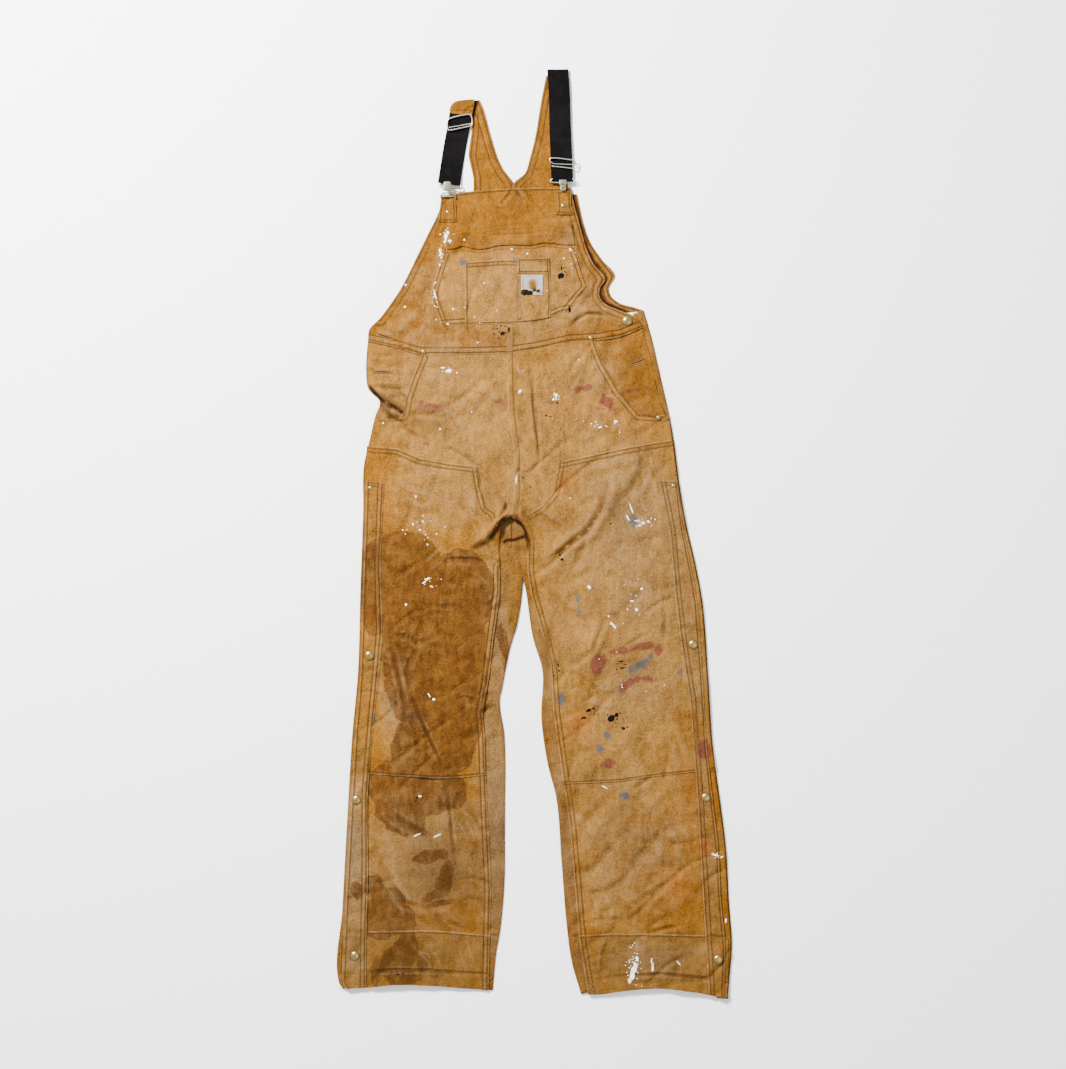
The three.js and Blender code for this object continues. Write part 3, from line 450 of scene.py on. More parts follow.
def cloth_looks(x, y, groove, wear_and_highlight):
    """The three triples that the duck material reads: faded, grey and wet; maroon, blue and chalk; rust,
    dirt with painted shade and shadow in the grooves, and wear with a painted highlight on the ridges."""
    dark, bright = groove.copy(), wear_and_highlight.copy()
    # Each crease is darkened with dirt and painted shade, and the lips beside it are lightened with wear
    # and a painted highlight.
    for line, _, half, shade_and_dirt in CREASES:
        m = near(x, y, line, 4.5 * half)
        if m.any():
            d, t = along(x[m], y[m], line)
            fade = np.sqrt(np.clip(4 * t * (1 - t), 0, 1))
            dark[m] = np.maximum(dark[m], shade_and_dirt * fade * bell(d, max(0.85 * half, 3.2)))
            bright[m] = np.maximum(bright[m], 0.5 * fade * bell(np.abs(d) - 2.2 * half, half))
    faded, grey, chalk, rust = [spread(x, y, spots) for spots in (FADED, GREYED, CHALKED, RUSTED)]
    wet, maroon, blue = [spread(x, y, spots, True) for spots in (WETTED, MAROON, BLUED)]
    # Painted shade near the folds at the sides, below the upper bib, where the cloth rolls away; joined
    # with the soiled spots.
    rim = np.min([reach(x, y, line) for line in SILHOUETTES], axis=0)
    dark = np.maximum(dark, np.maximum(spread(x, y, SOILED), 0.38 * bell(rim, 7) * (y < 420)))
    return {
        "tone": np.stack([faded, grey, wet], -1),
        "paint": np.stack([maroon, blue, chalk], -1),
        "soil": np.stack([rust, np.clip(dark, 0, 1.6), np.clip(bright, 0, 1)], -1),
    }


def seam_relief(x, y, seams):
    """Relief of felled edges, with dirt and painted shade along the rows and wear with a painted highlight
    on the lip and the puffs. From the edge inwards: a rounded lip, a groove where each row of stitches
    pulls down, a puffed and puckered strip between the rows."""
    z = np.zeros(np.shape(x))
    groove = np.zeros(np.shape(x))
    wear_and_highlight = np.zeros(np.shape(x))
    for line, rows in seams:
        m = near(x, y, line, rows[-1] + 8)
        if not m.any():
            continue
        d, t = along(x[m], y[m], line)
        d, s = np.abs(d), t * length_of(line)
        pull = 0.9 + 0.1 * np.sin(s * 0.9 + 2.2 * ripple(s, d * 0, 23, 7))
        relief = -0.9 * bell(d, 1.1)
        shade_and_dirt = np.zeros(len(d))
        rub_and_highlight = 0.75 * bell(d - 0.9, 1.4) * (0.7 + 0.4 * ripple(s, d * 0, 9, 8))
        for row in rows:
            relief -= 0.55 * bell(d - row, 1.1) * pull
            shade_and_dirt = np.maximum(shade_and_dirt, 0.95 * bell(d - row - 1.3, 1.7) * pull)
            rub_and_highlight = np.maximum(rub_and_highlight, 0.5 * bell(d - row + 1.5, 1.3) * pull)
        wave = np.sin(s * 0.62 + 3 * ripple(s, d * 0, 31, 9))
        if rows[-1] < 15:
            puff = bell(d - rows[-1] / 2, 0.45 * rows[-1])
            relief += puff * (0.5 + 0.22 * wave)
            rub_and_highlight = np.maximum(rub_and_highlight, 0.2 * puff * (0.7 + 0.3 * wave))
        if len(rows) > 2:
            shade_and_dirt, rub_and_highlight, relief = 0.4 * shade_and_dirt, 0.4 * rub_and_highlight, 0.6 * relief
        z[m] += relief
        groove[m] = np.maximum(groove[m], shade_and_dirt)
        wear_and_highlight[m] = np.maximum(wear_and_highlight[m], rub_and_highlight)
    return z, groove, wear_and_highlight


def add_mesh(name, points, faces, attributes=None, smooth=True):
    """Puts points in millimetres and their faces into a new object, with a triple of numbers for
    each point under each attribute's name."""
    mesh = bpy.data.meshes.new(name)
    mesh.from_pydata((np.asarray(points, float) * 0.001).tolist(), [], np.asarray(faces).tolist())
    for key, values in (attributes or {}).items():
        layer = mesh.attributes.new(key, "FLOAT_VECTOR", "POINT")
        layer.data.foreach_set("vector", np.asarray(values, np.float32).ravel())
    mesh.polygons.foreach_set("use_smooth", [smooth] * len(mesh.polygons))
    mesh.update()
    obj = bpy.data.objects.new(name, mesh)
    bpy.context.scene.collection.objects.link(obj)
    return obj


def grid_faces(rows, columns, first=0, flip=False):
    """Four-sided faces between the points of a grid."""
    i = np.arange(rows * columns).reshape(rows, columns) + first
    quads = np.stack([i[:-1, :-1], i[:-1, 1:], i[1:, 1:], i[1:, :-1]], -1).reshape(-1, 4)
    return quads[:, ::-1] if flip else quads


def shell(points, normals, thickness):
    """A closed sheet: a grid of points, the same grid moved back along its normals, and a strip
    of faces round the edge."""
    rows, columns = points.shape[:2]
    top = points.reshape(-1, 3)
    under = (points - thickness * normals).reshape(-1, 3)
    i = np.arange(rows * columns).reshape(rows, columns)
    rim = np.concatenate([i[0, :-1], i[:-1, -1], i[-1, :0:-1], i[:0:-1, 0]])
    ahead = np.roll(rim, -1)
    skirt = np.stack([rim, rim + rows * columns, ahead + rows * columns, ahead], -1)
    faces = np.vstack([grid_faces(rows, columns), grid_faces(rows, columns, rows * columns, True), skirt])
    return np.vstack([top, under]), faces


def lie(outline, height, thickness=DUCK_THICKNESS, rise=0.0, floor=0.05):
    """Points and faces of a piece that lies on the garment: each point of the four-sided piece
    gets its height, and the under side is straight below."""
    x, y = outline
    z = np.maximum(height(x, y) + rise, floor + thickness)
    points = np.stack([x, y, z], -1)
    down = np.zeros_like(points)
    down[..., 2] = 1
    return shell(points, down, thickness)


class Value:
    """A number that varies over a surface, with sums and products made by Math nodes."""

    def __init__(self, finish, socket):
        self.finish, self.socket = finish, socket

    def do(self, operation, *others):
        inputs = dict(enumerate((self, *others)))
        return self.finish.node("ShaderNodeMath", {"operation": operation}, inputs)

    def __add__(self, other):
        return self.do("ADD", other)

    def __sub__(self, other):
        return self.do("SUBTRACT", other)

    def __mul__(self, other):
        return self.do("MULTIPLY", other)

    def __rsub__(self, other):
        return self.finish.node("ShaderNodeMath", {"operation": "SUBTRACT"}, {0: other, 1: self})

    __radd__ = __add__
    __rmul__ = __mul__

    def between(self, low, high):
        """Eased from 0 at low to 1 at high."""
        settings = {"interpolation_type": "SMOOTHSTEP"}
        return self.finish.node("ShaderNodeMapRange", settings, {0: self, 1: low, 2: high})


class Finish:
    """A material, with one method that makes each of its nodes."""

    def __init__(self, name, **constants):
        self.material = bpy.data.materials.new(name)
        self.material.use_nodes = True
        self.tree = self.material.node_tree
        self.shader = self.tree.nodes["Principled BSDF"]
        for key, value in constants.items():
            self.shader.inputs[key.replace("_", " ")].default_value = value
        self.place = self.node("ShaderNodeTexCoord", {}, {}, "Object")

    def node(self, kind, settings, inputs, out=0):
        made = self.tree.nodes.new(kind)
        for key, value in settings.items():
            setattr(made, key, value)
        for key, value in inputs.items():
            if isinstance(value, Value):
                self.tree.links.new(value.socket, made.inputs[key])
            else:
                made.inputs[key].default_value = value
        return Value(self, made.outputs[out])

    def noise(self, size, detail=3, shift=0.0, stretch=(1, 1, 1)):
        """Noise from 0 to 1 with features about size millimetres across."""
        vector = self.node("ShaderNodeMapping", {}, {0: self.place, 1: (shift, shift * 0.7, 0), 3: stretch})
        return self.node(
            "ShaderNodeTexNoise", {}, {"Vector": vector, "Scale": 1000 / size, "Detail": detail})

    def read(self, name):
        """The three numbers of an attribute."""
        triple = self.node("ShaderNodeAttribute", {"attribute_name": name}, {}, "Vector")
        split = self.node("ShaderNodeSeparateXYZ", {}, {0: triple}).socket.node
        return [Value(self, socket) for socket in split.outputs]

    def mix(self, factor, a, b):
        return self.node("ShaderNodeMix", {"data_type": "RGBA"}, {0: factor, 6: a, 7: b}, 2)

    def tint(self, colour, factor):
        """A colour made lighter or darker by a factor that varies."""
        colour = colour if isinstance(colour, Value) else colour[:3]
        return self.node("ShaderNodeVectorMath", {"operation": "SCALE"}, {0: colour, "Scale": factor})

    def feed(self, **sockets):
        for key, value in sockets.items():
            self.tree.links.new(value.socket, self.shader.inputs[key.replace("_", " ")])


LIGHT_LEVEL = 3.3
COLOUR_DEPTH = 1.14


def rgb(red, green, blue):
    """Colour from screen numbers out of 255: made linear, deepened away from its own grey, and
    divided by the level of the studio light."""
    linear = np.array([((c / 255 + 0.055) / 1.055) ** 2.4 for c in (red, green, blue)])
    grey = float(linear @ (0.3, 0.6, 0.1))
    deep = np.clip(grey + (linear - grey) * COLOUR_DEPTH, 0.004, 1.6) / LIGHT_LEVEL
    return (*deep.tolist(), 1.0)


def duck_cloth(name, deep, faded, greyed, fade_bias=0.0, grey_bias=0.0):
    """Cotton duck: a weave of crossing threads, faded and mottled, with stains whose edges are broken up by
    noise, dirt and painted shade in the grooves, painted shadow where that runs darkest, and wear with a
    painted highlight on the ridges."""
    cloth = Finish(name, Roughness=0.92, Specular_IOR_Level=0.04)
    fade, grey, wet = cloth.read("tone")
    maroon, blue, chalk = cloth.read("paint")
    rust, groove, wear_and_highlight = cloth.read("soil")
    broad = cloth.noise(70, 4)
    patchy = cloth.noise(22, 5, 3.1)
    brushed = cloth.noise(9, 5, 7.7, (1, 0.45, 1))
    speck = cloth.noise(3.2, 3, 1.3)
    thread = cloth.noise(1.3, 2, 5.2, (1, 0.5, 1))
    fade = (fade * 1.1 + (broad - 0.5) * 0.9 + (patchy - 0.5) * 0.65 + fade_bias).between(0.05, 0.95)
    colour = cloth.mix(fade, deep, faded)
    grey = (grey * 0.9 + (patchy - 0.5) * 0.7 + (speck - 0.5) * 0.3 + grey_bias).between(0.2, 1.1)
    colour = cloth.mix(grey * 0.75, colour, greyed)
    rust = (rust * 0.9 + (patchy - 0.5) * 0.7).between(0.25, 1.0)
    colour = cloth.mix(rust * 0.6, colour, rgb(192, 106, 40))
    # The fine wrinkles also darken the colour a little: painted shade in their creases.
    vein = (cloth.noise(30, 4, 11.0, (1, 0.6, 1)) - 0.5).do("ABSOLUTE").between(0.03, 0.0)
    fine_vein = (cloth.noise(13, 4, 17.0, (0.7, 1, 1)) - 0.5).do("ABSOLUTE").between(0.035, 0.0)
    shade = 1.04 + (broad - 0.5) * 0.75 + (patchy - 0.5) * 0.65 + (brushed - 0.5) * 0.9
    shade = shade + (speck - 0.5) * 1.2 + (thread - 0.5) * 1.3 - vein * 0.05 - fine_vein * 0.04
    colour = cloth.tint(colour, shade)
    blue = (blue + (brushed - 0.5) * 0.9).between(0.32, 0.62)
    colour = cloth.mix(blue * 0.78, colour, rgb(84, 106, 116))
    edge = wet + (patchy - 0.5) * 0.75 + (brushed - 0.5) * 0.35
    soaked = edge.between(0.47, 0.53)
    tide = (edge - 0.5).do("ABSOLUTE").between(0.07, 0.0)
    deeper = (broad * 1.3 + patchy * 0.9).between(0.85, 1.35)
    drying = (broad * 0.9 + patchy * 1.1 + brushed * 0.6).between(1.1, 1.5)
    soaking = cloth.tint(cloth.mix(deeper, rgb(132, 87, 48), rgb(95, 63, 36)), shade)
    colour = cloth.mix(soaked * (0.92 - drying * 0.30), colour, soaking)
    colour = cloth.mix(tide * 0.3, colour, rgb(120, 72, 34))
    maroon = (maroon + (brushed - 0.5) * 0.75 + (speck - 0.5) * 0.4).between(0.42, 0.58)
    colour = cloth.mix(maroon * 0.72, colour, cloth.tint(rgb(130, 58, 64), shade))
    chalk = (chalk + (brushed - 0.5) * 0.7 + (speck - 0.5) * 0.4).between(0.45, 0.8)
    colour = cloth.mix(chalk * 0.55, colour, rgb(226, 212, 190))
    # Dirt and painted shade in grooves and creases; above 1.0 it turns to a near-black painted shadow.
    shadow = groove.between(1.0, 1.5)
    groove = (groove + (speck - 0.5) * 0.35).between(0.12, 1.0)
    colour = cloth.mix(groove * 0.85, colour, rgb(86, 56, 30))
    colour = cloth.mix(shadow * 0.9, colour, rgb(46, 24, 10))
    # Wear and a painted highlight on the ridges and seam lips.
    wear_and_highlight = (wear_and_highlight + (brushed - 0.5) * 0.5).between(0.2, 1.0)
    colour = cloth.mix(wear_and_highlight * 0.6, colour, rgb(222, 190, 146))
    grit = cloth.noise(5.5, 2, 9.1).between(0.70, 0.76)
    colour = cloth.mix(grit * 0.45, colour, rgb(88, 56, 30))
    dot = {"operation": "DOT_PRODUCT"}
    x, y = [cloth.node("ShaderNodeVectorMath", dot, {0: cloth.place, 1: axis}, "Value")
            for axis in ((1, 0, 0), (0, 1, 0))]
    weave = (x * 5400).do("SINE") * (y * 3800).do("SINE")
    height = weave * 0.08 + thread * 0.35 + brushed * 1.1 + speck * 0.5 + patchy * 0.9
    height = height - vein * 0.3 - fine_vein * 0.25
    bump = cloth.node("ShaderNodeBump", {}, {"Strength": 0.9, "Distance": 0.0014, "Height": height})
    cloth.feed(Base_Color=colour, Roughness=0.90 - soaked * 0.10, Normal=bump)
    return cloth.material


DUCK_BACK = duck_cloth("duck_back", rgb(166, 116, 62), rgb(184, 142, 94), rgb(152, 128, 100), 0.15, 0.1)


def fold_over(line, inward, top_width, floor_width, start, end):
    """Cloth folded up round one side of a leg. Across the fold the profile runs over the floor,
    round a half ellipse at the side line, and back over the leg; inward is +1 or -1 for the side
    on which the leg lies. top_width may be a line, the seam that the strip runs to."""
    count = int((end - start) * length_of(line) / FOLD_PITCH) + 2
    base = smooth_line(line, 0, np.linspace(start, end, count))
    tangent = np.gradient(base, axis=0)
    tangent /= np.hypot(tangent[:, 0], tangent[:, 1])[:, None]
    inner = inward * np.stack([-tangent[:, 1], tangent[:, 0]], 1)
    widths = np.full(count, float(top_width)) if np.isscalar(top_width) else top_width(base)
    over = stations(20, 2.4, False, False)[1:]
    rim = base + inner * FOLD_RADIUS
    crest = laid(rim[:, 0], rim[:, 1]) - FOLD_WALL
    rows = []
    for s in np.linspace(floor_width, FOLD_RADIUS, 4)[:-1]:
        rows.append(np.column_stack([base + inner * s, np.zeros(count) + FLOOR_GAP]))
    for angle in np.radians(np.linspace(-90, 90, 9)):
        edge = rim - inner * FOLD_RADIUS * math.cos(angle)
        z = FLOOR_GAP + (crest - FLOOR_GAP) * (0.5 + 0.5 * math.sin(angle))
        rows.append(np.column_stack([edge, z]))
    for share in over:
        flat = base + inner * (FOLD_RADIUS + (widths - FOLD_RADIUS) * share)[:, None]
        blend = ease(share, 0, 0.5)
        z = laid(flat[:, 0], flat[:, 1]) - FOLD_WALL
        rows.append(np.column_stack([flat, crest * (1 - blend) + z * blend]))
    return np.stack(rows, 1)


def surface_normals(points):
    """Unit normals of a grid of points, from the cross product of its two directions."""
    across = np.gradient(points, axis=1)
    down = np.gradient(points, axis=0)
    normal = np.cross(across, down)
    return normal / np.maximum(np.linalg.norm(normal, axis=2, keepdims=True), 1e-9)


def joined(parts):
    """Several lots of points and faces as one."""
    points, faces, first = [], [], 0
    for p, f in parts:
        points.append(p)
        faces.append(np.asarray(f) + first)
        first += len(p)
    return np.vstack(points), np.vstack(faces)


def to_line(line, extra):
    """Widths that reach from each point of a fold to a seam line, and a little under it."""
    def widths(base):
        return np.maximum(reach(base[:, 0], base[:, 1], line) + extra, 5)
    return widths


def folded_shell(line, inward, top_width, floor_width, start=0.0, end=1.0):
    """A fold with its wall, turned so that its last row faces up."""
    points = fold_over(line, inward, top_width, floor_width, start, end)
    normals = surface_normals(points)
    if np.mean(normals[:, -1, 2]) < 0:
        points = points[::-1]
        normals = surface_normals(points)
    return shell(points, normals, 1.0)


def declare(piece, material, nodes):
    """Gives a finished piece its material, and names the CAD nodes that it stands for."""
    piece.data.materials.append(material)
    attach(piece, "root")
    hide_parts(*nodes)
    return piece


def cloth_piece(name, geometry, material, nodes, seams=(), dim=None):
    """A finished piece of duck, declared as a sheet of the size it was cut to."""
    points, faces = geometry
    half = len(points) // 2
    same = np.array_equal(points[:half, :2], points[half:, :2])
    x, y = (points[:half] if same else points)[:, :2].T
    _, groove, wear_and_highlight = seam_relief(x, y, seams)
    # dim adds painted shade and shadow, such as under an overhang or a fold, to the grooves' darkening.
    if dim is not None:
        groove = np.maximum(groove, dim(x, y))
    looks = cloth_looks(x, y, groove, wear_and_highlight)
    if same:
        looks = {key: np.vstack([triple, triple]) for key, triple in looks.items()}
    piece = declare(add_mesh(name, points, faces, looks), material, nodes)
    return piece


def back_leg(name, floor, folds):
    """One back: its flat part on the floor, and its folds and strips over it."""
    geometry = joined([lie(patch(*floor, 11), lambda x, y: 0 * x + 1.1, 1.05, 0.0, 0.02), *folds])
    return cloth_piece(name, geometry, DUCK_BACK, [name], (), seat_shadow)


def seat_height(x, y):
    """The back of the seat, seen under the overhang at the crotch: it bulges up round its seam."""
    z = 3.4 + 0.9 * bell(x + 41, 6) - 1.0 * bell(x + 41, 1.4)
    return z + 0.4 * ripple(x, y, 12, 15) - 2.3 * ease(y, -20, -33)


def seat_shadow(x, y):
    """Darker along the seat seam, and painted shadow in the slit above the turned strip."""
    slit = [(-54, -15), (-48, -12), (-37, -12), (-20, -6)]
    return np.maximum(0.8 * bell(x + 41, 1.8) * (y > -14) * (y < 14), 1.7 * bell(reach(x, y, slit), 3.0))


back_leg(
    "back_leg_left", (
        [(-320, -784), (-245, -778), (-190, -779), (-84, -786)], [(-279, 336), (-38, 336)], [
            (-320, -784), (-320, -650), (-305, -350), (-291, -100), (-285, 115), (-262, 220), (-279, 260),
            (-279, 336)], [
            (-84, -786), (-74, -680), (-68, -500), (-68, -350), (-74, -290), (-58, -200), (-38, -100),
            (-38, -10), (-38, 336)]), [
        folded_shell(SIDE_LEFT, -1, 20, 14.5), folded_shell(CREASE_LEFT, 1, to_line(INSEAM_LEFT, 5), 14.5),
        lie(
            patch(
                [(-70, -34), (-41, -34)], [(-66, 36), (-41, 36)], [(-70, -34), (-66, 36)],
                [(-41, -34), (-41, 36)], 2.5, "r"), seat_height, 1.0)])
back_leg(
    "back_leg_right", (
        [(94, -795), (160, -788), (220, -785), (322, -799)], [(-37.8, 336), (190, 336)], [
            (94, -795), (70, -690), (60, -570), (50, -460), (24, -320), (26, -240), (9, -180), (-3, -100),
            (-8, -66), (-37.8, -30), (-37.8, 336)], [
            (322, -799), (326, -715), (316, -550), (294, -370), (284, -230), (262, -50), (236, 85),
            (212, 232), (190, 336)]), [
        folded_shell(SIDE_RIGHT, 1, 20, 14.5),
        folded_shell(CREASE_RIGHT, -1, to_line(INSEAM_RIGHT, 5), 14.5, 0.0, 0.985), lie(
            patch(
                [(-40.8, -34), (-6, -34)], [(-40.8, 36), (-10, 36)], [(-40.8, -34), (-40.8, 36)],
                [(-6, -34), (-10, 36)], 2.5, "l"), seat_height, 1.0)])

# ---- Back bib and strap ends ----
# The back above the waist, one layer of orange-brown duck on the floor. Its bound edge shows past
# the right armhole, and its two straps, felled along both edges, meet in a V behind the bib.
BIB_LEFT = [(-290, 332), (-289, 351), (-270, 372), (-235, 422), (-192, 508), (-164, 569), (-163, 585)]
BIB_TOP = [(-163, 585), (-106, 593), (-50, 597), (0, 599), (62, 598)]
BIB_RIGHT = [
    (186, 356), (174, 374), (146, 386), (121, 397), (111, 411), (112, 424), (121, 440), (100, 468),
    (88, 494), (75, 540), (66, 575), (62, 598),
]
BACK_ARM = [
    (188, 386), (170, 392), (148, 398), (131, 411), (127, 424), (138, 446), (115, 475), (95, 505),
    (84, 535), (72, 588),
]
DUCK_DEEP = duck_cloth("duck_deep", rgb(172, 116, 56), rgb(188, 144, 94), rgb(168, 138, 104), 0.06, 0.0)


# Rows of stitches: how far each lies from the edge of its seam.
TWO_ROWS = (2.2, 9)
PATCH_ROW = (2.2,)
STRAP_ROWS = (2.5, 11)


def table_height(x, y):
    """A single layer on the floor: the cloth's thickness and a slight wave."""
    return 1.9 + 0.5 * ripple(x, y, 34, 21) + 0.25 * ripple(x, y, 13, 22)


# The dark band along the front bib's right edge is painted shadow under that edge.
cloth_piece(
    "back_bib",
    lie(patch([(-284, 337), (188, 386)], [(-150, 586), (72, 588)],
              [(-284, 337), (-262, 372), (-228, 424), (-186, 508), (-150, 586)], BACK_ARM, 4.0, "r"),
        lambda x, y: table_height(x, y) + seam_relief(x, y, [(BACK_ARM, TWO_ROWS)])[0], 1.0),
    DUCK_DEEP, ["back_bib"], [(BACK_ARM, TWO_ROWS)],
    lambda x, y: 1.9 * bell(reach(x, y, BIB_RIGHT[1:]), 5.0))

STRAP_LEFT_OUTER = [
    (-108, 590), (-108, 615), (-116, 655), (-111, 700), (-112, 727), (-143, 728), (-148, 735), (-145, 742),
    (-138, 748), (-122, 751), (-97, 751),
]
STRAP_LEFT_INNER = [
    (-38, 590), (-38, 606), (-55, 630), (-65, 650), (-75, 680), (-83, 710), (-90, 735), (-97, 751),
]
STRAP_RIGHT_LEFT = [(-38, 588), (-38, 606), (-18, 625), (-10, 650), (0, 690), (8, 740), (18, 793)]
STRAP_RIGHT_RIGHT = [(56, 588), (57, 700), (56, 793)]


def strap_height(x, y):
    """A strap end on the floor, with slight waves."""
    return 2.1 + 0.8 * ripple(x, y, 26, 31) + 0.3 * ripple(x, y, 9, 32)


def strap(name, bottom, top, left, right, seams, extra=(), dim=None):
    """A strap end with two felled edges, and what is turned over it."""
    def relief(x, y):
        return strap_height(x, y) + 0.9 * seam_relief(x, y, seams)[0]

    sheet = lie(patch(bottom, top, left, right, 2.6, "lr"), relief, 1.2)
    return cloth_piece(
        name, joined([sheet, *extra]), DUCK_DEEP, [name], seams, dim)


turned_outline = (
    [(-148.5, 727.5), (-110, 723)], [(-138, 748.5), (-122, 751), (-106, 752)],
    [(-148.5, 727.5), (-148.5, 735), (-145, 743), (-138, 748.5)], [(-110, 723), (-107, 738), (-106, 752)])


def turned_height(x, y):
    """The strap end turned over itself: fullest along its middle, creased where it doubles back."""
    return 5.4 + 1.3 * bell(y - 740, 8) - 1.2 * bell(y - 731, 1.7)


turned_end = lie(patch(*turned_outline, 2.0, "b"), turned_height, 1.2)
# Painted shadow in the wedge beside the turned strap end.
TURN_SHADOW = [(-109, 718), (-105, 735), (-101, 752)]
strap(
    "back_strap_left", [(-108, 590), (-38, 590)], [(-112, 727), (-84, 714)], STRAP_LEFT_OUTER[:5],
    STRAP_LEFT_INNER[:6] + [(-84, 714)],
    [(STRAP_LEFT_INNER, (2.5, 13)), (STRAP_LEFT_OUTER[:5], STRAP_ROWS)], [
        lie(
            patch(
                [(-112, 727.3), (-84, 714.3)], [(-136, 748), (-97, 751)],
                [(-112, 727.3), (-146, 733), (-136, 748)], [(-84, 714.3), (-90, 735), (-97, 751)], 2.6,
                "r"), strap_height, 1.2), turned_end],
    lambda x, y: 1.7 * bell(reach(x, y, TURN_SHADOW), 3.2))
strap(
    "back_strap_right", [(-38, 588), (56, 588)], [(18, 793), (56, 793)], STRAP_RIGHT_LEFT,
    STRAP_RIGHT_RIGHT, [(STRAP_RIGHT_LEFT, STRAP_ROWS), (STRAP_RIGHT_RIGHT, STRAP_ROWS)])

# ---- Hip facings ----
# The parts of the pocket bags that are faced with duck, seen beyond the slant mouths of the two
# hip pockets. They are sewn into the side seams and under the bib at the waist.
WAIST = [
    (-290, 332), (-240, 321), (-200, 309), (-120, 309), (-50, 311), (0, 318), (60, 331), (110, 334),
    (150, 341), (186, 356),
]
HIP_FOLD = [(-289, 253), (-275, 240), (-264, 229), (-250, 221), (-229, 208), (-215, 200)]
POCKET_LEFT = [(-198, 306), (-215, 265), (-225, 235), (-230, 207)]
POCKET_RIGHT = [(103, 333), (118, 295), (145, 248), (180, 207), (223, 205)]
FRONT_HIP_RIGHT = [(229, 205), (217, 236), (205, 300), (191, 350)]
DUCK = duck_cloth("duck", rgb(186, 127, 62), rgb(196, 146, 88), rgb(172, 142, 106), 0.2, 0.0)

# The dark band below the hip fold is painted shadow.
cloth_piece(
    "hip_facing_left", lie(
        patch(
            [(-281, 190), (-205, 190)], [(-288, 340), (-190, 318)],
            [(-281, 190), (-277, 204), (-270, 227), (-288, 250), (-292, 280), (-291, 310), (-288, 340)],
            [(-205, 190), (-200, 240), (-190, 318)], 2.8), laid, DUCK_THICKNESS, -1.4), DUCK,
    ["hip_facing_left"], (), lambda x, y: 1.8 * bell(reach(x, y, HIP_FOLD), 4.0))
cloth_piece(
    "hip_facing_right", lie(
        patch(
            [(120, 195), (229, 205)], [(92, 342), (187, 362)], [(120, 195), (92, 342)],
            [(229, 205), (217, 236), (205, 300), (187, 362)], 2.8, "r"),
        lambda x, y: laid(x, y) + seam_relief(x, y, [(FRONT_HIP_RIGHT, PATCH_ROW)])[0], DUCK_THICKNESS,
        -1.4), DUCK_DEEP, ["hip_facing_right"],
    [(FRONT_HIP_RIGHT, PATCH_ROW)])

# ---- Front legs ----
# Two long panels of faded duck, split at the fly, the right one over the left. The inseam, the fly
# and the slant pocket mouths are turned under and sewn with two rows.
FLY = [(-44, 27), (-37, 66), (-38, 100), (-38, 140), (-46, 200), (-49, 250), (-50, 311)]
surfaces = []


def outline_of(bottom, top, left, right):
    """The closed outline that the four sides of a piece make."""
    return np.array([*bottom, *right[1:], *top[::-1][1:], *left[::-1][1:-1]], float)


def contains(outline, x, y):
    """Whether each point is inside an outline, by counting the edges that a line towards +X
    crosses."""
    inside = np.zeros(np.shape(x), bool)
    for (ax, ay), (bx, by) in zip(outline, np.roll(outline, -1, axis=0)):
        crosses = (ay > y) != (by > y)
        at = ax + (y - ay) * (bx - ax) / ((by - ay) or 1e-9)
        inside ^= crosses & (x < at)
    return inside


def surface_at(x, y):
    """Height of the topmost piece made so far at each point."""
    z = laid(x, y) - FOLD_WALL
    owner = np.full(np.shape(x), -1)
    for number, (outline, _) in enumerate(surfaces):
        m = near(x, y, outline.tolist(), 0)
        if m.any():
            inside = m.copy()
            inside[m] = contains(outline, x[m], y[m])
            owner[inside] = number
    for number in set(owner[owner >= 0].tolist()):
        m = owner == number
        z[m] = surfaces[number][1](x[m], y[m])
    return z


def panel(
        name, material, sides, rise, seams, pitch=3.0, fine="", hidden=(), extra=None,
        dim=None):
    """A piece of duck that lies on the garment's front at a given rise, with felled edges."""
    def height(x, y):
        z = laid(x, y) + rise + seam_relief(x, y, seams)[0]
        return z if extra is None else z + extra(x, y)

    geometry = lie(patch(*sides, pitch, fine, hidden), height)
    piece = cloth_piece(name, geometry, material, [name], seams, dim)
    surfaces.append((outline_of(*sides), height))
    return piece


LEG_TOP_LEFT = [
    (-277, 205), (-262, 206), (-230, 207), (-225, 235), (-215, 265), (-198, 306), (-196, 318), (-120, 319),
    (-50, 321),
]
LEG_SIDE_LEFT = [(-331, -789), *[(x + 3, y) for x, y in SIDE_LEFT[1:10]], (-277, 205)]
OVERHANG = [
    (-116, -28), (-104, -23), (-90, -18), (-78, -8), (-70, 2), (-62, 14), (-55, 22), (-48, 25), (-40, 22),
    (-30, 20), (-22, 8), (-16, -5), (-12, -18), (-13, -36),
]


def crotch_bunch(x, y):
    """The cloth gathered above the crotch: a thick soft ridge along the overhang."""
    d, t = along(x, y, OVERHANG)
    return 3.6 * bell(np.abs(d) - 8, 7) * ease(np.abs(d), 0, 5) * np.sqrt(np.clip(4 * t * (1 - t), 0, 1))


def crotch_shade_and_dirt(x, y):
    """Painted shadow under the overhang, with dirt, fading out at its two ends."""
    d, t = along(x, y, OVERHANG)
    return 1.9 * bell(d, 5.8) * np.sqrt(np.clip(4 * t * (1 - t), 0, 1))


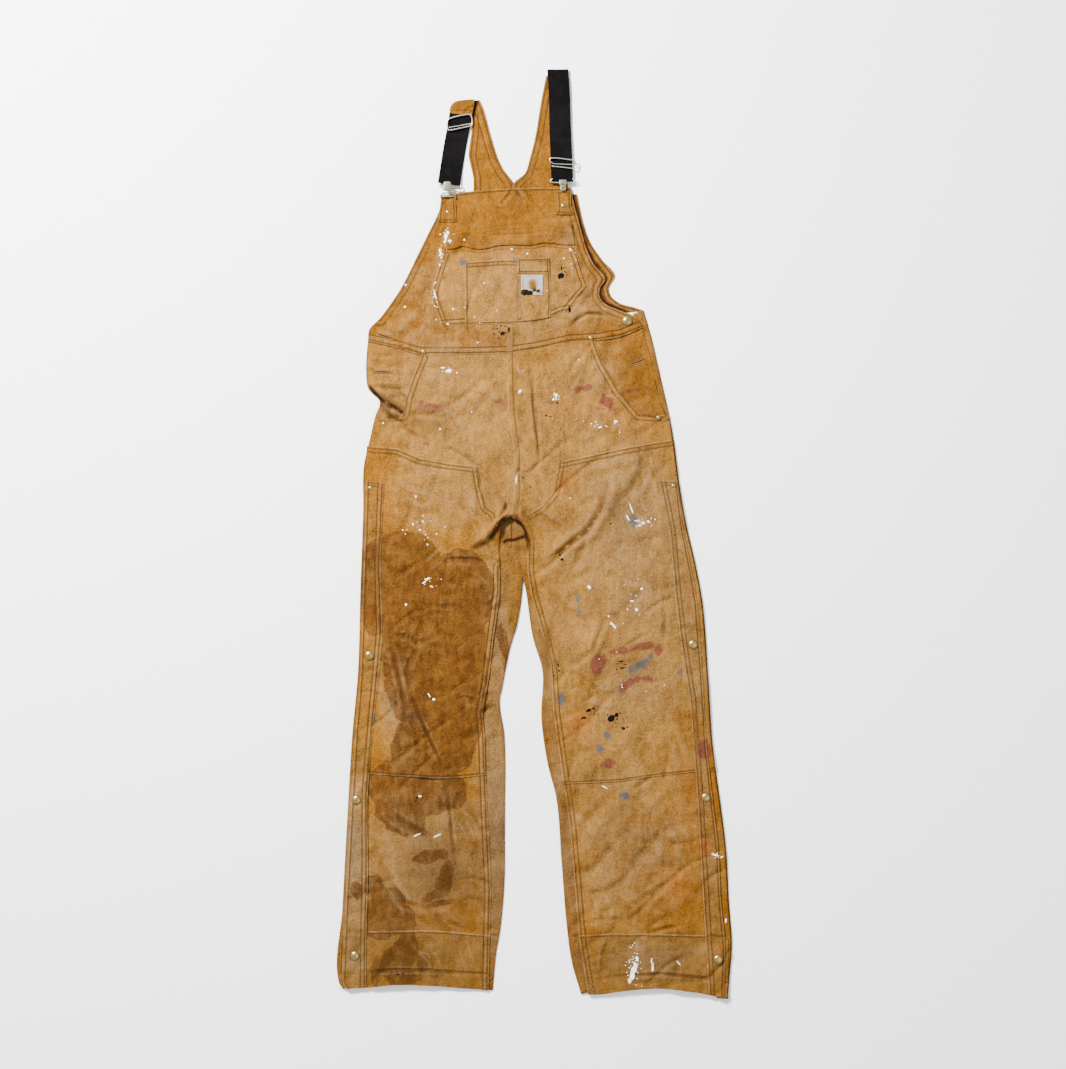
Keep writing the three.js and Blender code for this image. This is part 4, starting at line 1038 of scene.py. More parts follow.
INSEAM_ROWS, POCKET_ROWS = (2.2, 9.5), (2.2, 10)
INSEAM_SEWN_LEFT = [(x, y) for x, y in INSEAM_LEFT if y < -8]
INSEAM_SEWN_RIGHT = [(x, y) for x, y in INSEAM_RIGHT if y < -20]
INSEAM_EDGE_LEFT = [*INSEAM_LEFT[:9], (-61, -60), (-63, -18), (-62, 0), (-56, 20), (-44, 27)]
panel(
    "front_leg_left", DUCK, (
        HEM_LEFT, LEG_TOP_LEFT, LEG_SIDE_LEFT,
        INSEAM_EDGE_LEFT + [(-36, 66), (-30, 100), (-30, 140), (-38, 200), (-41, 250), (-50, 321)]), 0.0,
    [(INSEAM_SEWN_LEFT, INSEAM_ROWS), (POCKET_LEFT, POCKET_ROWS)], fine="rt",
    hidden=((0.38, 0.80),), extra=crotch_bunch, dim=crotch_shade_and_dirt)
LEG_TOP_RIGHT = [
    (-50, 321), (0, 328), (60, 341), (98, 343), (103, 333), (118, 295), (145, 248), (180, 207), (223, 205),
    (231, 205),
]
LEG_SIDE_RIGHT = [(331, -807), *[(x - 3, y) for x, y in SIDE_RIGHT[1:13]], (231, 205)]
INSEAM_EDGE_RIGHT = [*INSEAM_RIGHT[:9], (-13, -66), (-12, -24), (-20, 4), (-30, 19), (-44, 27)]
panel(
    "front_leg_right", DUCK,
    (HEM_RIGHT, LEG_TOP_RIGHT, INSEAM_EDGE_RIGHT + FLY[1:-1] + [(-50, 321)], LEG_SIDE_RIGHT), 0.9,
    [(INSEAM_SEWN_RIGHT, INSEAM_ROWS), (POCKET_RIGHT, POCKET_ROWS), (FLY, (8.5,))],
    fine="lt", hidden=((0.40, 0.78),), extra=crotch_bunch,
    dim=crotch_shade_and_dirt)

# ---- Double knees ----
# A second layer of duck over each front, from the thigh to the shin, turned under and sewn with
# two rows on top. The left one has come open along its lower edge.
KNEE_TOP_LEFT = [(-292, 151), (-240, 147), (-200, 130), (-150, 121), (-99, 115)]
KNEE_INNER_LEFT = [(-87, -420), *INSEAM_LEFT[4:11], (-64, 20), (-70, 36), (-85, 47), (-94, 80), (-99, 115)]
KNEE_END_LEFT = [(-319, -417), (-289, -418), (-228, -422), (-145, -425), (-87, -420)]
KNEE_SIDE_LEFT = [(-319, -417), *LEG_SIDE_LEFT[4:9], (-292, 151)]
ONE_ROW = (2.4,)
TORN_EDGE = [(-220, -424), (-190, -423), (-158, -424)]


def torn_lip(x, y):
    """Where the lower edge has come open the cloth stands up a little."""
    d, t = along(x, y, TORN_EDGE)
    return 1.6 * bell(d, 9) * np.sqrt(np.clip(4 * t * (1 - t), 0, 1))


# Painted shadow under the lower edge where it has come open, and along the crotch overhang.
panel(
    "knee_panel_left", DUCK, (KNEE_END_LEFT, KNEE_TOP_LEFT, KNEE_SIDE_LEFT, KNEE_INNER_LEFT), 1.5, [
        (KNEE_TOP_LEFT, TWO_ROWS), (KNEE_INNER_LEFT[-5:], TWO_ROWS), (INSEAM_SEWN_LEFT[3:], INSEAM_ROWS),
        (KNEE_END_LEFT, ONE_ROW)], fine="rbt", extra=torn_lip,
    dim=lambda x, y: np.maximum(1.3 * bell(reach(x, y, TORN_EDGE), 3), crotch_shade_and_dirt(x, y)))
KNEE_TOP_RIGHT = [(40, 123), (100, 136), (150, 147), (200, 156), (237, 162)]
KNEE_INNER_RIGHT = [
    (48, -435), *INSEAM_RIGHT[4:10], (-16, -24), (-20, 8), (-16, 32), (8, 45), (30, 70), (40, 123),
]
KNEE_END_RIGHT = [(48, -435), (100, -433), (150, -430), (190, -424), (276, -414), (312, -411)]
KNEE_SIDE_RIGHT = [(312, -411), *LEG_SIDE_RIGHT[6:13]]
panel(
    "knee_panel_right", DUCK, (KNEE_END_RIGHT, KNEE_TOP_RIGHT, KNEE_INNER_RIGHT, KNEE_SIDE_RIGHT),
    2.4, [
        (KNEE_TOP_RIGHT, TWO_ROWS), (KNEE_INNER_RIGHT[-4:], TWO_ROWS), (INSEAM_SEWN_RIGHT[2:], INSEAM_ROWS),
        (KNEE_END_RIGHT, ONE_ROW)], fine="lbt",
    dim=crotch_shade_and_dirt)

# ---- Hem bands ----
# A band of greyer duck, turned up and sewn round the end of each leg.
DUCK_GRIMY = duck_cloth("duck_grimy", rgb(182, 130, 70), rgb(193, 149, 96), rgb(168, 142, 108), 0.12, 0.1)
HEM_SEAM_LEFT = [(-331, -692), (-292, -690), (-200, -688), (-150, -690), (-79, -697)]
HEM_SEAM_RIGHT = [(75, -697), (130, -694), (200, -694), (294, -697), (334, -700)]
panel(
    "hem_band_left", DUCK_GRIMY,
    (HEM_LEFT, HEM_SEAM_LEFT, [(-331, -789), (-338, -780), (-331, -692)], [(-81, -793), (-79, -697)]), 1.2,
    [(HEM_SEAM_LEFT, ONE_ROW), ([(-81, -793), (-79, -697)], INSEAM_ROWS), (HEM_LEFT, (28,))],
    pitch=2.8, fine="rtb")
panel(
    "hem_band_right", DUCK_GRIMY,
    (HEM_RIGHT, HEM_SEAM_RIGHT, [(91, -800), (75, -697)], [(331, -807), (334, -770), (334, -700)]), 2.1,
    [(HEM_SEAM_RIGHT, ONE_ROW), ([(91, -800), (75, -697)], INSEAM_ROWS), (HEM_RIGHT, (27,))],
    pitch=2.8, fine="ltb")

# ---- Side flaps ----
# A strip of duck down each outer leg over the side zip, sewn along its front edge with two rows
# and closed at the side with snaps.
FLAP_LEFT = [
    (-262, 86), (-268, -60), (-265, -170), (-277, -300), (-290, -450), (-290, -600), (-292, -690),
    (-293, -787),
]
FLAP_RIGHT = [
    (214, 92), (232, 0), (242, -110), (253, -200), (267, -290), (280, -460), (288, -600), (294, -697),
    (300, -800),
]
FLAP_EDGE_LEFT = [
    (-327, -790), (-334, -780), (-329, -650), (-321, -500), (-312, -350), (-303, -240), (-299, -100),
    (-294, 40), (-293, 92),
]
FLAP_EDGE_RIGHT = [
    (326, -806), (328, -770), (329, -715), (322, -640), (317, -550), (307, -460), (297, -370), (290, -250),
    (280, -120), (268, -50), (256, 10), (246, 90),
]
panel(
    "side_flap_left", DUCK_GRIMY,
    ([(-327, -790), (-293, -787)], [(-293, 92), (-262, 86)], FLAP_EDGE_LEFT, FLAP_LEFT[::-1]), 3.0,
    [(FLAP_LEFT, TWO_ROWS), (FLAP_EDGE_LEFT, ONE_ROW), ([(-293, 92), (-262, 86)], (2.2, 8))],
    pitch=3.2, fine="lr")
panel(
    "side_flap_right", DUCK_GRIMY,
    ([(300, -800), (326, -806)], [(214, 92), (246, 90)], FLAP_RIGHT[::-1], FLAP_EDGE_RIGHT), 3.9,
    [(FLAP_RIGHT, TWO_ROWS), (FLAP_EDGE_RIGHT, ONE_ROW), ([(214, 92), (246, 90)], (2.2, 8))],
    pitch=3.2, fine="lr")

# ---- Front bib ----
# One piece of orange-brown duck, felled to the legs along the waist with two rows.
ARM_SEAM_LEFT = BIB_LEFT[2:]
WAIST_ROWS, BINDING_ROWS = (2.0, 10.5), (2.4, 11)
panel(
    "front_bib", DUCK_DEEP, (WAIST, BIB_TOP, BIB_LEFT, BIB_RIGHT), 1.3,
    [(WAIST, WAIST_ROWS), (BIB_TOP, ONE_ROW), (ARM_SEAM_LEFT, BINDING_ROWS), (BIB_RIGHT[1:], BINDING_ROWS)],
    pitch=2.8, fine="lrbt")

# ---- Chest pocket ----
# A six-sided patch pocket, faded, with a stitched band of duck above its mouth, and sewn on it a
# pen pocket with its small flap.
BAND_LOWER = [
    (-159, 492), (-140, 493), (-128, 497), (-120, 496), (-100, 492), (-85, 493), (-70, 497), (-50, 499),
    (0, 500), (12, 503), (20, 503), (50, 500), (68, 500),
]
MOUTH_GAP = [(x, y - 3.2) for x, y in BAND_LOWER]
CHEST_BOTTOM = [(-162, 358), (-120, 361), (-50, 363), (0, 368), (25, 373), (45, 382), (57, 384)]
CHEST_LEFT = [(-162, 358), (-178, 400), (-181, 415), (-172, 450), (-157, 494)]
CHEST_RIGHT = [(57, 384), (80, 412), (92, 427), (84, 450), (68, 499)]
CHEST_MOUTH = [(-157, 494), (-128, 498), (-100, 493), (-60, 499), (0, 501), (12, 504), (35, 503), (68, 499)]


def mouth_sag(x, y):
    """The pocket falls away a little where its mouth gapes under the band."""
    return -2.2 * bell(reach(x, y, MOUTH_GAP), 3.5)


def mouth_shadow(x, y):
    """Painted shadow in the gaping mouth, under the band."""
    return 2.6 * bell(reach(x, y, MOUTH_GAP), 3.2)


panel(
    "chest_pocket", DUCK, (CHEST_BOTTOM, CHEST_MOUTH, CHEST_LEFT, CHEST_RIGHT), 2.4,
    [(CHEST_BOTTOM, TWO_ROWS), (CHEST_LEFT, TWO_ROWS), (CHEST_RIGHT, TWO_ROWS)],
    pitch=2.8, fine="lrbt", extra=mouth_sag, dim=mouth_shadow)
BAND_UPPER = [(-151, 531), (-100, 532), (-45, 533), (62, 536)]
MOUTH_ROWS = [12, 19, 26, 33]
panel(
    "chest_flap", DUCK_DEEP,
    (BAND_LOWER, BAND_UPPER, [(-159, 492), (-151, 531)], [(68, 500), (62, 536)]), 3.9,
    [(BAND_LOWER, MOUTH_ROWS)], pitch=2.2, fine="b")
panel(
    "pen_pocket", DUCK, (
        [(-122, 364), (0, 369), (26, 374)], [(-122, 470), (-60, 474), (26, 472)],
        [(-122, 364), (-122, 470)], [(26, 374), (27, 400), (26, 472)]), 3.6, [
        ([(-122, 364), (-122, 470)], PATCH_ROW), ([(26, 374), (27, 400), (26, 472)], PATCH_ROW),
        ([(-122, 470), (-60, 474), (26, 472)], (2.2, 8)), ([(-28, 372), (-28, 450)], (1.5,))],
    pitch=2.8, fine="lrt")
PEN_FLAP_SIDES = (
    [(-31, 449), (25, 449)], [(-31, 476), (24, 477)], [(-31, 449), (-31, 476)], [(25, 449), (24, 477)])
panel(
    "pen_flap", DUCK, PEN_FLAP_SIDES, 4.8, [(side, PATCH_ROW) for side in PEN_FLAP_SIDES],
    pitch=2.4, fine="lrbt")

# ---- Square patch and zip stop ----
# The patch is plain off-white woven cotton, sewn on by its edge and left bare but for its stains.
# The tan strip at the middle of the waist is the worn edge of the placket over the zip.
LABEL = Finish("label", Roughness=0.8, Specular_IOR_Level=0.05)
label_blots = LABEL.read("tone")
label_colour = LABEL.mix(
    (label_blots[0] + (LABEL.noise(5, 4) - 0.5) * 0.7).between(0.42, 0.62), rgb(238, 228, 212),
    rgb(44, 30, 18))
label_colour = LABEL.mix(
    (label_blots[1] + (LABEL.noise(9, 4, 2.0) - 0.5) * 0.6).between(0.3, 0.9) * 0.95, label_colour,
    rgb(166, 120, 64))
label_colour = LABEL.tint(label_colour, 0.9 + LABEL.noise(2.2, 3) * 0.2)
label_bump = LABEL.node(
    "ShaderNodeBump", {}, {"Strength": 0.4, "Distance": 0.0005, "Height": LABEL.noise(1.1, 2)})
LABEL.feed(Base_Color=label_colour, Normal=label_bump)


def plain_panel(name, sides, rise, blots, worn_spots):
    """A small piece of off-white cloth with felled edges, its dark and its tan stains as spots."""
    edges = [(side, (2.0,)) for side in sides]

    def height(x, y):
        return laid(x, y) + rise + 0.6 * seam_relief(x, y, edges)[0]

    points, faces = lie(patch(*sides, 1.6, "lrbt"), height, 0.8)
    x, y = points[:, 0], points[:, 1]
    marks = {"tone": np.stack([spread(x, y, blots), spread(x, y, worn_spots), 0 * x], -1)}
    piece = declare(add_mesh(name, points, faces, marks), LABEL.material, [name])
    surfaces.append((outline_of(*sides), height))
    return piece


plain_panel(
    "label_patch",
    ([(-25, 413), (13, 412)], [(-25, 447), (13, 447)], [(-25, 413), (-25, 447)], [(13, 412), (13, 447)]),
    4.9, [(-3, 425, 4, 7, 1.2, 20), (-19, 417, 6, 5, 1.3), (-10, 416, 5, 4, 1.3), (4, 419, 4, 3, 1, 10)],
    [(-5, 431, 8, 8, 1.2, 20), (-22, 430, 4, 16, 0.7), (8, 416, 8, 4, 0.8), (-8, 445, 16, 2, 0.7)])
plain_panel(
    "zip_top", (
        [(-50, 314), (-39, 314)], [(-50, 361), (-39, 361)], [(-50, 314), (-50, 361)],
        [(-39, 314), (-39, 361)]), 2.6, [(-45, 352, 5, 7, 0.9), (-48, 344, 3, 6, 0.8)],
    [(-43, 332, 12, 40, 1.3), (-46, 350, 8, 20, 1.2)])

# ---- Bib tabs ----
# Two short straps of duck, folded through the wire loops and sewn and riveted to the bib.
for side, sides, size in (
    (
        "left", (
            [(-169, 539), (-136, 539)], [(-163, 586), (-139, 586)], [(-169, 539), (-163, 586)],
            [(-136, 539), (-139, 586)]), (0.033, 0.048)), (
        "right", (
            [(35, 552), (67, 551)], [(36, 593), (62, 593)], [(35, 552), (39, 562), (36, 593)],
            [(67, 551), (62, 565), (62, 593)]), (0.032, 0.042))):
    panel(
        f"bib_tab_{side}", DUCK_DEEP, sides, 3.4, [(edge, PATCH_ROW) for edge in sides],
        pitch=1.9, fine="lrbt")

# ---- Elastic webbing ----
# Black ribbed elastic, 38 mm wide. The right length folds over at the top and comes down over its
# duck strap; the left one comes out from under the turned strap end.
WEBBING = Finish("webbing", Roughness=0.95, Specular_IOR_Level=0.06)
web_dust = WEBBING.noise(12, 5)
web_fine = WEBBING.noise(2.0, 3)
web_shine = WEBBING.read("tone")[0]
web_colour = WEBBING.mix(
    (web_dust + (web_fine - 0.5) * 0.6).between(0.45, 0.85) * 0.3, rgb(14, 10, 12), rgb(50, 42, 46))
web_colour = WEBBING.mix(web_shine * 0.25, web_colour, rgb(56, 50, 52))
WEBBING.feed(
    Base_Color=web_colour,
    Normal=WEBBING.node("ShaderNodeBump", {}, {"Strength": 0.3, "Distance": 0.0004, "Height": web_fine}))


RIB_PITCH = 1.15
TURN_RADIUS = 1.6


def webbing(centre, width, heights):
    """A band along a line in plan: the line through the centre points, its width across, its
    height from a smooth line through the heights, and ribs across it."""
    count = int(length_of(centre) / RIB_PITCH)
    line = smooth_line(centre, count)
    tangent = np.gradient(line, axis=0)
    tangent /= np.hypot(tangent[:, 0], tangent[:, 1])[:, None]
    side = np.stack([-tangent[:, 1], tangent[:, 0]], 1)
    s = np.linspace(0, 1, count)
    z = np.interp(s, [h[0] for h in heights], [h[1] for h in heights])
    across = np.concatenate([[-1, -0.985, -0.95, -0.9], np.linspace(-0.85, 0.85, 17),
                             [0.9, 0.95, 0.985, 1]])
    w = np.interp(s, [0, 1], [width[0], width[1]])[:, None] / 2
    x = line[:, :1] + side[:, :1] * across * w
    y = line[:, 1:] + side[:, 1:] * across * w
    ribs = 0.16 * np.sin(np.arange(count) * RIB_PITCH * 2.1)[:, None] * (np.abs(across) < 0.93)
    edge = -0.5 * bell(np.abs(across) - 1, 0.035) + 0.22 * bell(np.abs(across) - 0.93, 0.03)
    wave = 0.35 * ripple(x, y, 22, 61)
    points = np.stack([x, y, z[:, None] + ribs + edge + wave + 0 * x], -1)
    up = np.zeros_like(points)
    up[..., 2] = 1
    if np.mean(surface_normals(points)[..., 2]) < 0:
        points = points[:, ::-1]
    return shell(points, up, 1.5)


def finish_webbing(name, parts):
    """Declares a length of elastic, with a faint shine in patches."""
    points, faces = joined(parts)
    shine = ripple(points[:, 0], points[:, 1], 30, 5) * 0.5
    piece = add_mesh(name, points, faces, {"tone": np.stack([np.clip(shine, 0, 1)] * 3, -1)})
    declare(piece, WEBBING.material, [name])


def webbing_fold(left, right, low, high):
    """The rounded turn at the top of a folded band: a half ellipse swept from left to right."""
    angle = np.radians(np.linspace(-90, 90, 11))
    a, b = np.array(left, float), np.array(right, float)
    out = np.array([-(b - a)[1], (b - a)[0]]) / math.dist(a, b)
    middle, half = (low + high) / 2, (high - low) / 2
    base = a + (b - a) * np.linspace(0, 1, 14)[:, None]
    rows = []
    for t in angle:
        z = np.full(14, middle + half * math.sin(t))
        rows.append(np.column_stack([base + out * TURN_RADIUS * math.cos(t), z]))
    points = np.stack(rows, 0)
    if np.mean(surface_normals(points)[-1, :, 2]) < 0:
        points = points[:, ::-1]
    return shell(points, surface_normals(points), min(1.4, half * 0.8))


web_right = webbing(
    [(38.5, 803), (41, 770), (43, 700), (45, 650), (46.5, 606)], (36.5, 38),
    [(0, 5.4), (0.5, 5.0), (0.85, 5.4), (1, 7.2)])
finish_webbing(
    "webbing_right", [web_right, webbing_fold((20.5, 802.5), (57, 802.5), 1.0, 5.3)])
web_left = webbing(
    [(-130, 727), (-132, 712), (-138, 680), (-144, 645), (-150, 604)], (39, 39),
    [(0, 4.2), (0.15, 3.6), (0.35, 2.2), (0.8, 2.4), (1, 6.6)])
finish_webbing("webbing_left", [web_left])

# ---- Adjusters and buckles ----
# Loops of bent nickel-plated wire, 2 mm thick. The upper pair slide on the webbing; the lower pair
# carry the clasps.
WIRE = Finish("wire", Metallic=1.0, Roughness=0.3)
wire_tarnish = WIRE.noise(6, 4).between(0.4, 0.75)
WIRE.feed(
    Base_Color=WIRE.mix(wire_tarnish, (0.62, 0.60, 0.56, 1.0), (0.24, 0.20, 0.15, 1.0)),
    Roughness=0.24 + wire_tarnish * 0.3)


def tube(path, radius, sides=10, closed=False):
    """A round wire: circles of the radius set square to the path, whose corners are cut twice, at
    a quarter of each stretch."""
    line = np.array(path, float)
    for _ in range(2):
        ends = line if closed else line[:-1]
        after = np.roll(line, -1, axis=0) if closed else line[1:]
        cut = np.stack([0.75 * ends + 0.25 * after, 0.25 * ends + 0.75 * after], 1).reshape(-1, 3)
        line = cut if closed else np.vstack([line[:1], cut, line[-1:]])
    if closed:
        ahead, behind = np.roll(line, -1, 0), np.roll(line, 1, 0)
        tangent = ahead - behind
    else:
        tangent = np.gradient(line, axis=0)
    tangent /= np.linalg.norm(tangent, axis=1, keepdims=True)
    side = np.cross(tangent, (0, 0, 1))
    side /= np.linalg.norm(side, axis=1, keepdims=True)
    up = np.cross(side, tangent)
    angle = np.linspace(0, 2 * math.pi, sides, endpoint=False)
    ring = (line[:, None] + radius * (np.cos(angle)[None, :, None] * side[:, None]
            + np.sin(angle)[None, :, None] * up[:, None]))
    rows = len(line)
    i = np.arange(rows * sides).reshape(rows, sides)
    if closed:
        i = np.vstack([i, i[:1]])
    j = np.roll(i, -1, axis=1)
    faces = np.stack([i[:-1], j[:-1], j[1:], i[1:]], -1).reshape(-1, 4)
    points = ring.reshape(-1, 3)
    if not closed:
        first, last = len(points), len(points) + 1
        points = np.vstack([points, line[:1], line[-1:]])
        caps = [[first, int(i[0, (k + 1) % sides]), int(i[0, k]), int(i[0, k])] for k in range(sides)]
        caps += [[last, int(i[-1, k]), int(i[-1, (k + 1) % sides]), int(i[-1, (k + 1) % sides])]
                 for k in range(sides)]
        faces = np.vstack([faces, caps])
    return points, faces


def merge_points(piece):
    """Joins points that coincide, such as those at the poles, and turns all faces outwards."""
    shape = bmesh.new()
    shape.from_mesh(piece.data)
    bmesh.ops.remove_doubles(shape, verts=shape.verts, dist=1e-6)
    bmesh.ops.recalc_face_normals(shape, faces=shape.faces)
    shape.to_mesh(piece.data)
    shape.free()


def hard_piece(name, geometry, material, nodes):
    """A piece from four-sided faces, some of which are triangles with one corner twice."""
    points, faces = geometry
    faces = [list(dict.fromkeys(face)) for face in np.asarray(faces).tolist()]
    piece = bpy.data.objects.new(name, bpy.data.meshes.new(name))
    piece.data.from_pydata((np.asarray(points) * 0.001).tolist(), [], faces)
    piece.data.polygons.foreach_set("use_smooth", [True] * len(faces))
    bpy.context.scene.collection.objects.link(piece)
    merge_points(piece)
    return declare(piece, material, nodes)


hard_piece(
    "adjuster_right", joined([
               tube(
                   [
                       (30, 641, 8.4), (24.5, 643, 8.6), (25, 649.5, 8.8), (34, 649.6, 9), (47, 648.4, 9),
                       (60, 646.4, 9), (69.5, 645.4, 8.8), (70, 631, 8.6), (60, 631.8, 8.8), (48, 633.4, 9),
                       (36, 634.6, 8.8), (28.5, 635.6, 8.6)], 1.15),
               tube([(29, 640, 7.2), (45, 639, 6.8), (69, 638, 7.6)], 0.9)]), WIRE.material,
    ["adjuster_right"])
hard_piece(
    "adjuster_left", joined([
               tube(
                   [
                       (-150, 718, 7.4), (-140, 721, 7.6), (-126, 724, 7.6), (-115, 726, 7.4),
                       (-111, 722.5, 7.2), (-109.6, 714, 7.0), (-110, 707, 7.0), (-116, 704.6, 7.2),
                       (-130, 701.4, 7.4), (-149, 697.4, 7.4), (-152.4, 700, 7.2), (-153, 709, 7.2),
                       (-152, 716, 7.4)], 1.15, closed=True),
               tube([(-150, 703, 5.8), (-131, 706, 5.2), (-111, 710, 5.8)], 0.9)]), WIRE.material,
    ["adjuster_left"])
hard_piece(
    "buckle_right", tube(
        [
            (30, 613.5, 8.4), (26.4, 612, 8.4), (26, 609, 8.4), (29, 607.2, 8.6), (38, 606.8, 9),
            (54, 606.8, 9), (66, 607.2, 8.6), (68.4, 609, 8.4), (67.5, 612.4, 8.2), (64, 613.6, 7.4)], 1.2),
    WIRE.material, ["buckle_right"])
hard_piece(
    "buckle_left", tube(
        [
            (-167, 603, 6.6), (-165, 600, 7.2), (-156, 598.4, 8), (-140, 597, 8.2), (-130, 596.4, 7.6),
            (-128.4, 599.5, 7), (-130, 603, 6.4)], 1.2), WIRE.material, ["buckle_left"])

# ---- Clasps ----
# Pale plated clasps on the lower loops. The right one hooks over its wire and into the tab; the
# left one hangs on its wire, with the wire loop of the tab below it.
CLASP = Finish("clasp", Metallic=0.75, Roughness=0.38)
clasp_dirt = CLASP.noise(4.5, 4).between(0.42, 0.72)
CLASP.feed(
    Base_Color=CLASP.mix(clasp_dirt, rgb(226, 218, 184), rgb(126, 116, 80)),
    Roughness=0.34 + clasp_dirt * 0.25)


PLATE_BEVEL = 0.8


def pressed_plate(outline, low, high):
    """A pressed plate: its outline at the floor, at the shoulder and drawn in at the top."""
    p = np.array(outline, float)
    centre = p.mean(0)
    rings = []
    for inset, z in (
        (0.25, low), (0, low + 0.3), (0, high - PLATE_BEVEL), (0.3 * PLATE_BEVEL, high - 0.3 * PLATE_BEVEL),
        (PLATE_BEVEL, high), (PLATE_BEVEL * 2.2, high + 0.15)):
        v = p - centre
        rings.append(np.column_stack([
                                         centre + v * (1 - inset / np.hypot(v[:, 0], v[:, 1]))[:, None],
                                         np.full(len(p), z)]))
    rows, n = len(rings), len(p)
    i = np.arange(rows * n).reshape(rows, n)
    j = np.roll(i, -1, axis=1)
    faces = np.stack([i[:-1], j[:-1], j[1:], i[1:]], -1).reshape(-1, 4)
    points = np.vstack([*rings, [[*centre, low]], [[*centre, high + 0.2]]])
    first, last = rows * n, rows * n + 1
    fans = [[first, int(j[0, k]), int(i[0, k]), int(i[0, k])] for k in range(n)]
    fans += [[last, int(i[-1, k]), int(j[-1, k]), int(j[-1, k])] for k in range(n)]
    return points, np.vstack([faces, fans])


def rounded(x0, y0, x1, y1, radius):
    """The outline of a rectangle with round corners."""
    turns = []
    for cx, cy, begin in (
        (x1 - radius, y0 + radius, -90), (x1 - radius, y1 - radius, 0), (x0 + radius, y1 - radius, 90),
        (x0 + radius, y0 + radius, 180)):
        angle = np.radians(np.linspace(begin, begin + 90, 5))
        turns.append(np.column_stack([cx + radius * np.cos(angle), cy + radius * np.sin(angle)]))
    return np.vstack(turns)


hard_piece(
    "clasp_right", joined([
               pressed_plate(rounded(41, 602.5, 54, 611.5, 1.6), 9.6, 12.4),
               pressed_plate(rounded(42.6, 592, 53, 603.6, 4.2), 8.4, 11.4),
               tube([(42.6, 601, 11.6), (47.5, 598.6, 12.2), (53, 601, 11.6)], 0.9)]),
    CLASP.material, ["clasp_right"])
hard_piece(
    "clasp_left", joined([
               pressed_plate(rounded(-159, 592.5, -146, 608.5, 3.0), 8.8, 12.2),
               tube([(-146, 598.5, 9.4), (-136, 596.8, 9.6), (-128.5, 596.2, 9.2)], 1.6)]),
    CLASP.material, ["clasp_left"])
hard_piece(
    "tab_loop_left", joined([
               tube(
                   [
                       (-164, 580, 8.6), (-163.5, 586, 9.6), (-158, 588.6, 10), (-146, 588.6, 10),
                       (-140, 586.6, 9.6), (-138, 579, 8.6)], 1.25),
               pressed_plate(rounded(-162, 581.4, -140.5, 584.4, 1.3), 8.4, 10.4)]),
    CLASP.material, ["tab_loop_left"])

# ---- Snaps, side button and rivets ----
# Domed brass caps pressed through the cloth, worn bright on the crown and dark brown round the
# rim. Each stands on the mean height of the cloth under it.
BRASS = Finish("brass", Metallic=1.0, Roughness=0.34)
brass_rim = BRASS.read("tone")[0]
brass_patch = BRASS.noise(3.5, 5)
brass_dirt = (brass_rim + (brass_patch - 0.5) * 0.9).between(0.35, 0.95)
brass_colour = BRASS.mix(brass_dirt, (0.37, 0.275, 0.09, 1.0), (0.10, 0.062, 0.02, 1.0))
brass_colour = BRASS.mix(
    (BRASS.noise(7, 3, 4.0)).between(0.55, 0.75) * 0.35, brass_colour, (0.20, 0.152, 0.05, 1.0))
brass_bump = BRASS.node("ShaderNodeBump", {}, {"Strength": 0.25, "Distance": 0.0003, "Height": brass_patch})
BRASS.feed(Base_Color=brass_colour, Roughness=0.3 + brass_dirt * 0.35, Normal=brass_bump)


def cap(x, y, radius, height, seat, sides=40):
    """A pressed cap turned about its own axis: a rolled rim, a shallow groove and a domed crown."""
    profile = np.array([
                           (0.0, -0.9), (0.86, -0.9), (0.97, -0.5), (1.0, 0.05), (0.985, 0.26),
                           (0.95, 0.38), (0.90, 0.40), (0.86, 0.36), (0.82, 0.38), (0.76, 0.52),
                           (0.66, 0.70), (0.52, 0.85), (0.36, 0.94), (0.18, 0.99), (0.0, 1.0)])
    angle = np.linspace(0, 2 * math.pi, sides, endpoint=False)
    r = profile[:, :1] * radius
    z = np.maximum(seat + profile[:, 1:] * height, 0.1) + 0 * angle
    points = np.stack([x + r * np.cos(angle), y + r * np.sin(angle), z], -1)
    i = np.arange(len(profile) * sides).reshape(len(profile), sides)
    j = np.roll(i, -1, axis=1)
    faces = np.stack([i[:-1], j[:-1], j[1:], i[1:]], -1).reshape(-1, 4)
    rim = np.repeat(ease(profile[:, 0], 0.45, 1.0), sides)
    return points.reshape(-1, 3), faces, rim


def fastener(name, x, y, radius, height):
    """A cap seated at the mean height of the cloth under it."""
    probe = np.linspace(-0.8, 0.8, 7) * radius
    px, py = np.meshgrid(x + probe, y + probe)
    seat = float(np.mean(surface_at(px, py)))
    points, faces, rim = cap(x, y, radius, height, seat, 40 if radius > 5 else 20)
    piece = add_mesh(name, points, faces, {"tone": np.stack([rim] * 3, -1)})
    merge_points(piece)
    declare(piece, BRASS.material, [name])


for side, places in (
    ("left", [(-288, -212), (-310, -462), (-313, -732)]),
    ("right", [(273, -193), (295, -458), (316, -738)])):
    for place, (x, y) in zip(("upper", "middle", "lower"), places):
        fastener(f"snap_{side}_{place}", x, y, 8.6, 3.6)
fastener("side_button", 159, 368, 9.4, 3.8)
for name, (x, y) in {
    "rivet_pocket_right_top": (96, 338), "rivet_pocket_right_end": (213, 200),
    "rivet_pocket_left_top": (-194, 314), "rivet_pocket_left_end": (-263, 189),
    "rivet_flap_left": (-286, 78), "rivet_flap_right": (239, 82), "rivet_tab_left": (-152, 556),
    "rivet_tab_right": (48, 567)}.items():
    fastener(name, x, y, 4.1, 1.7)

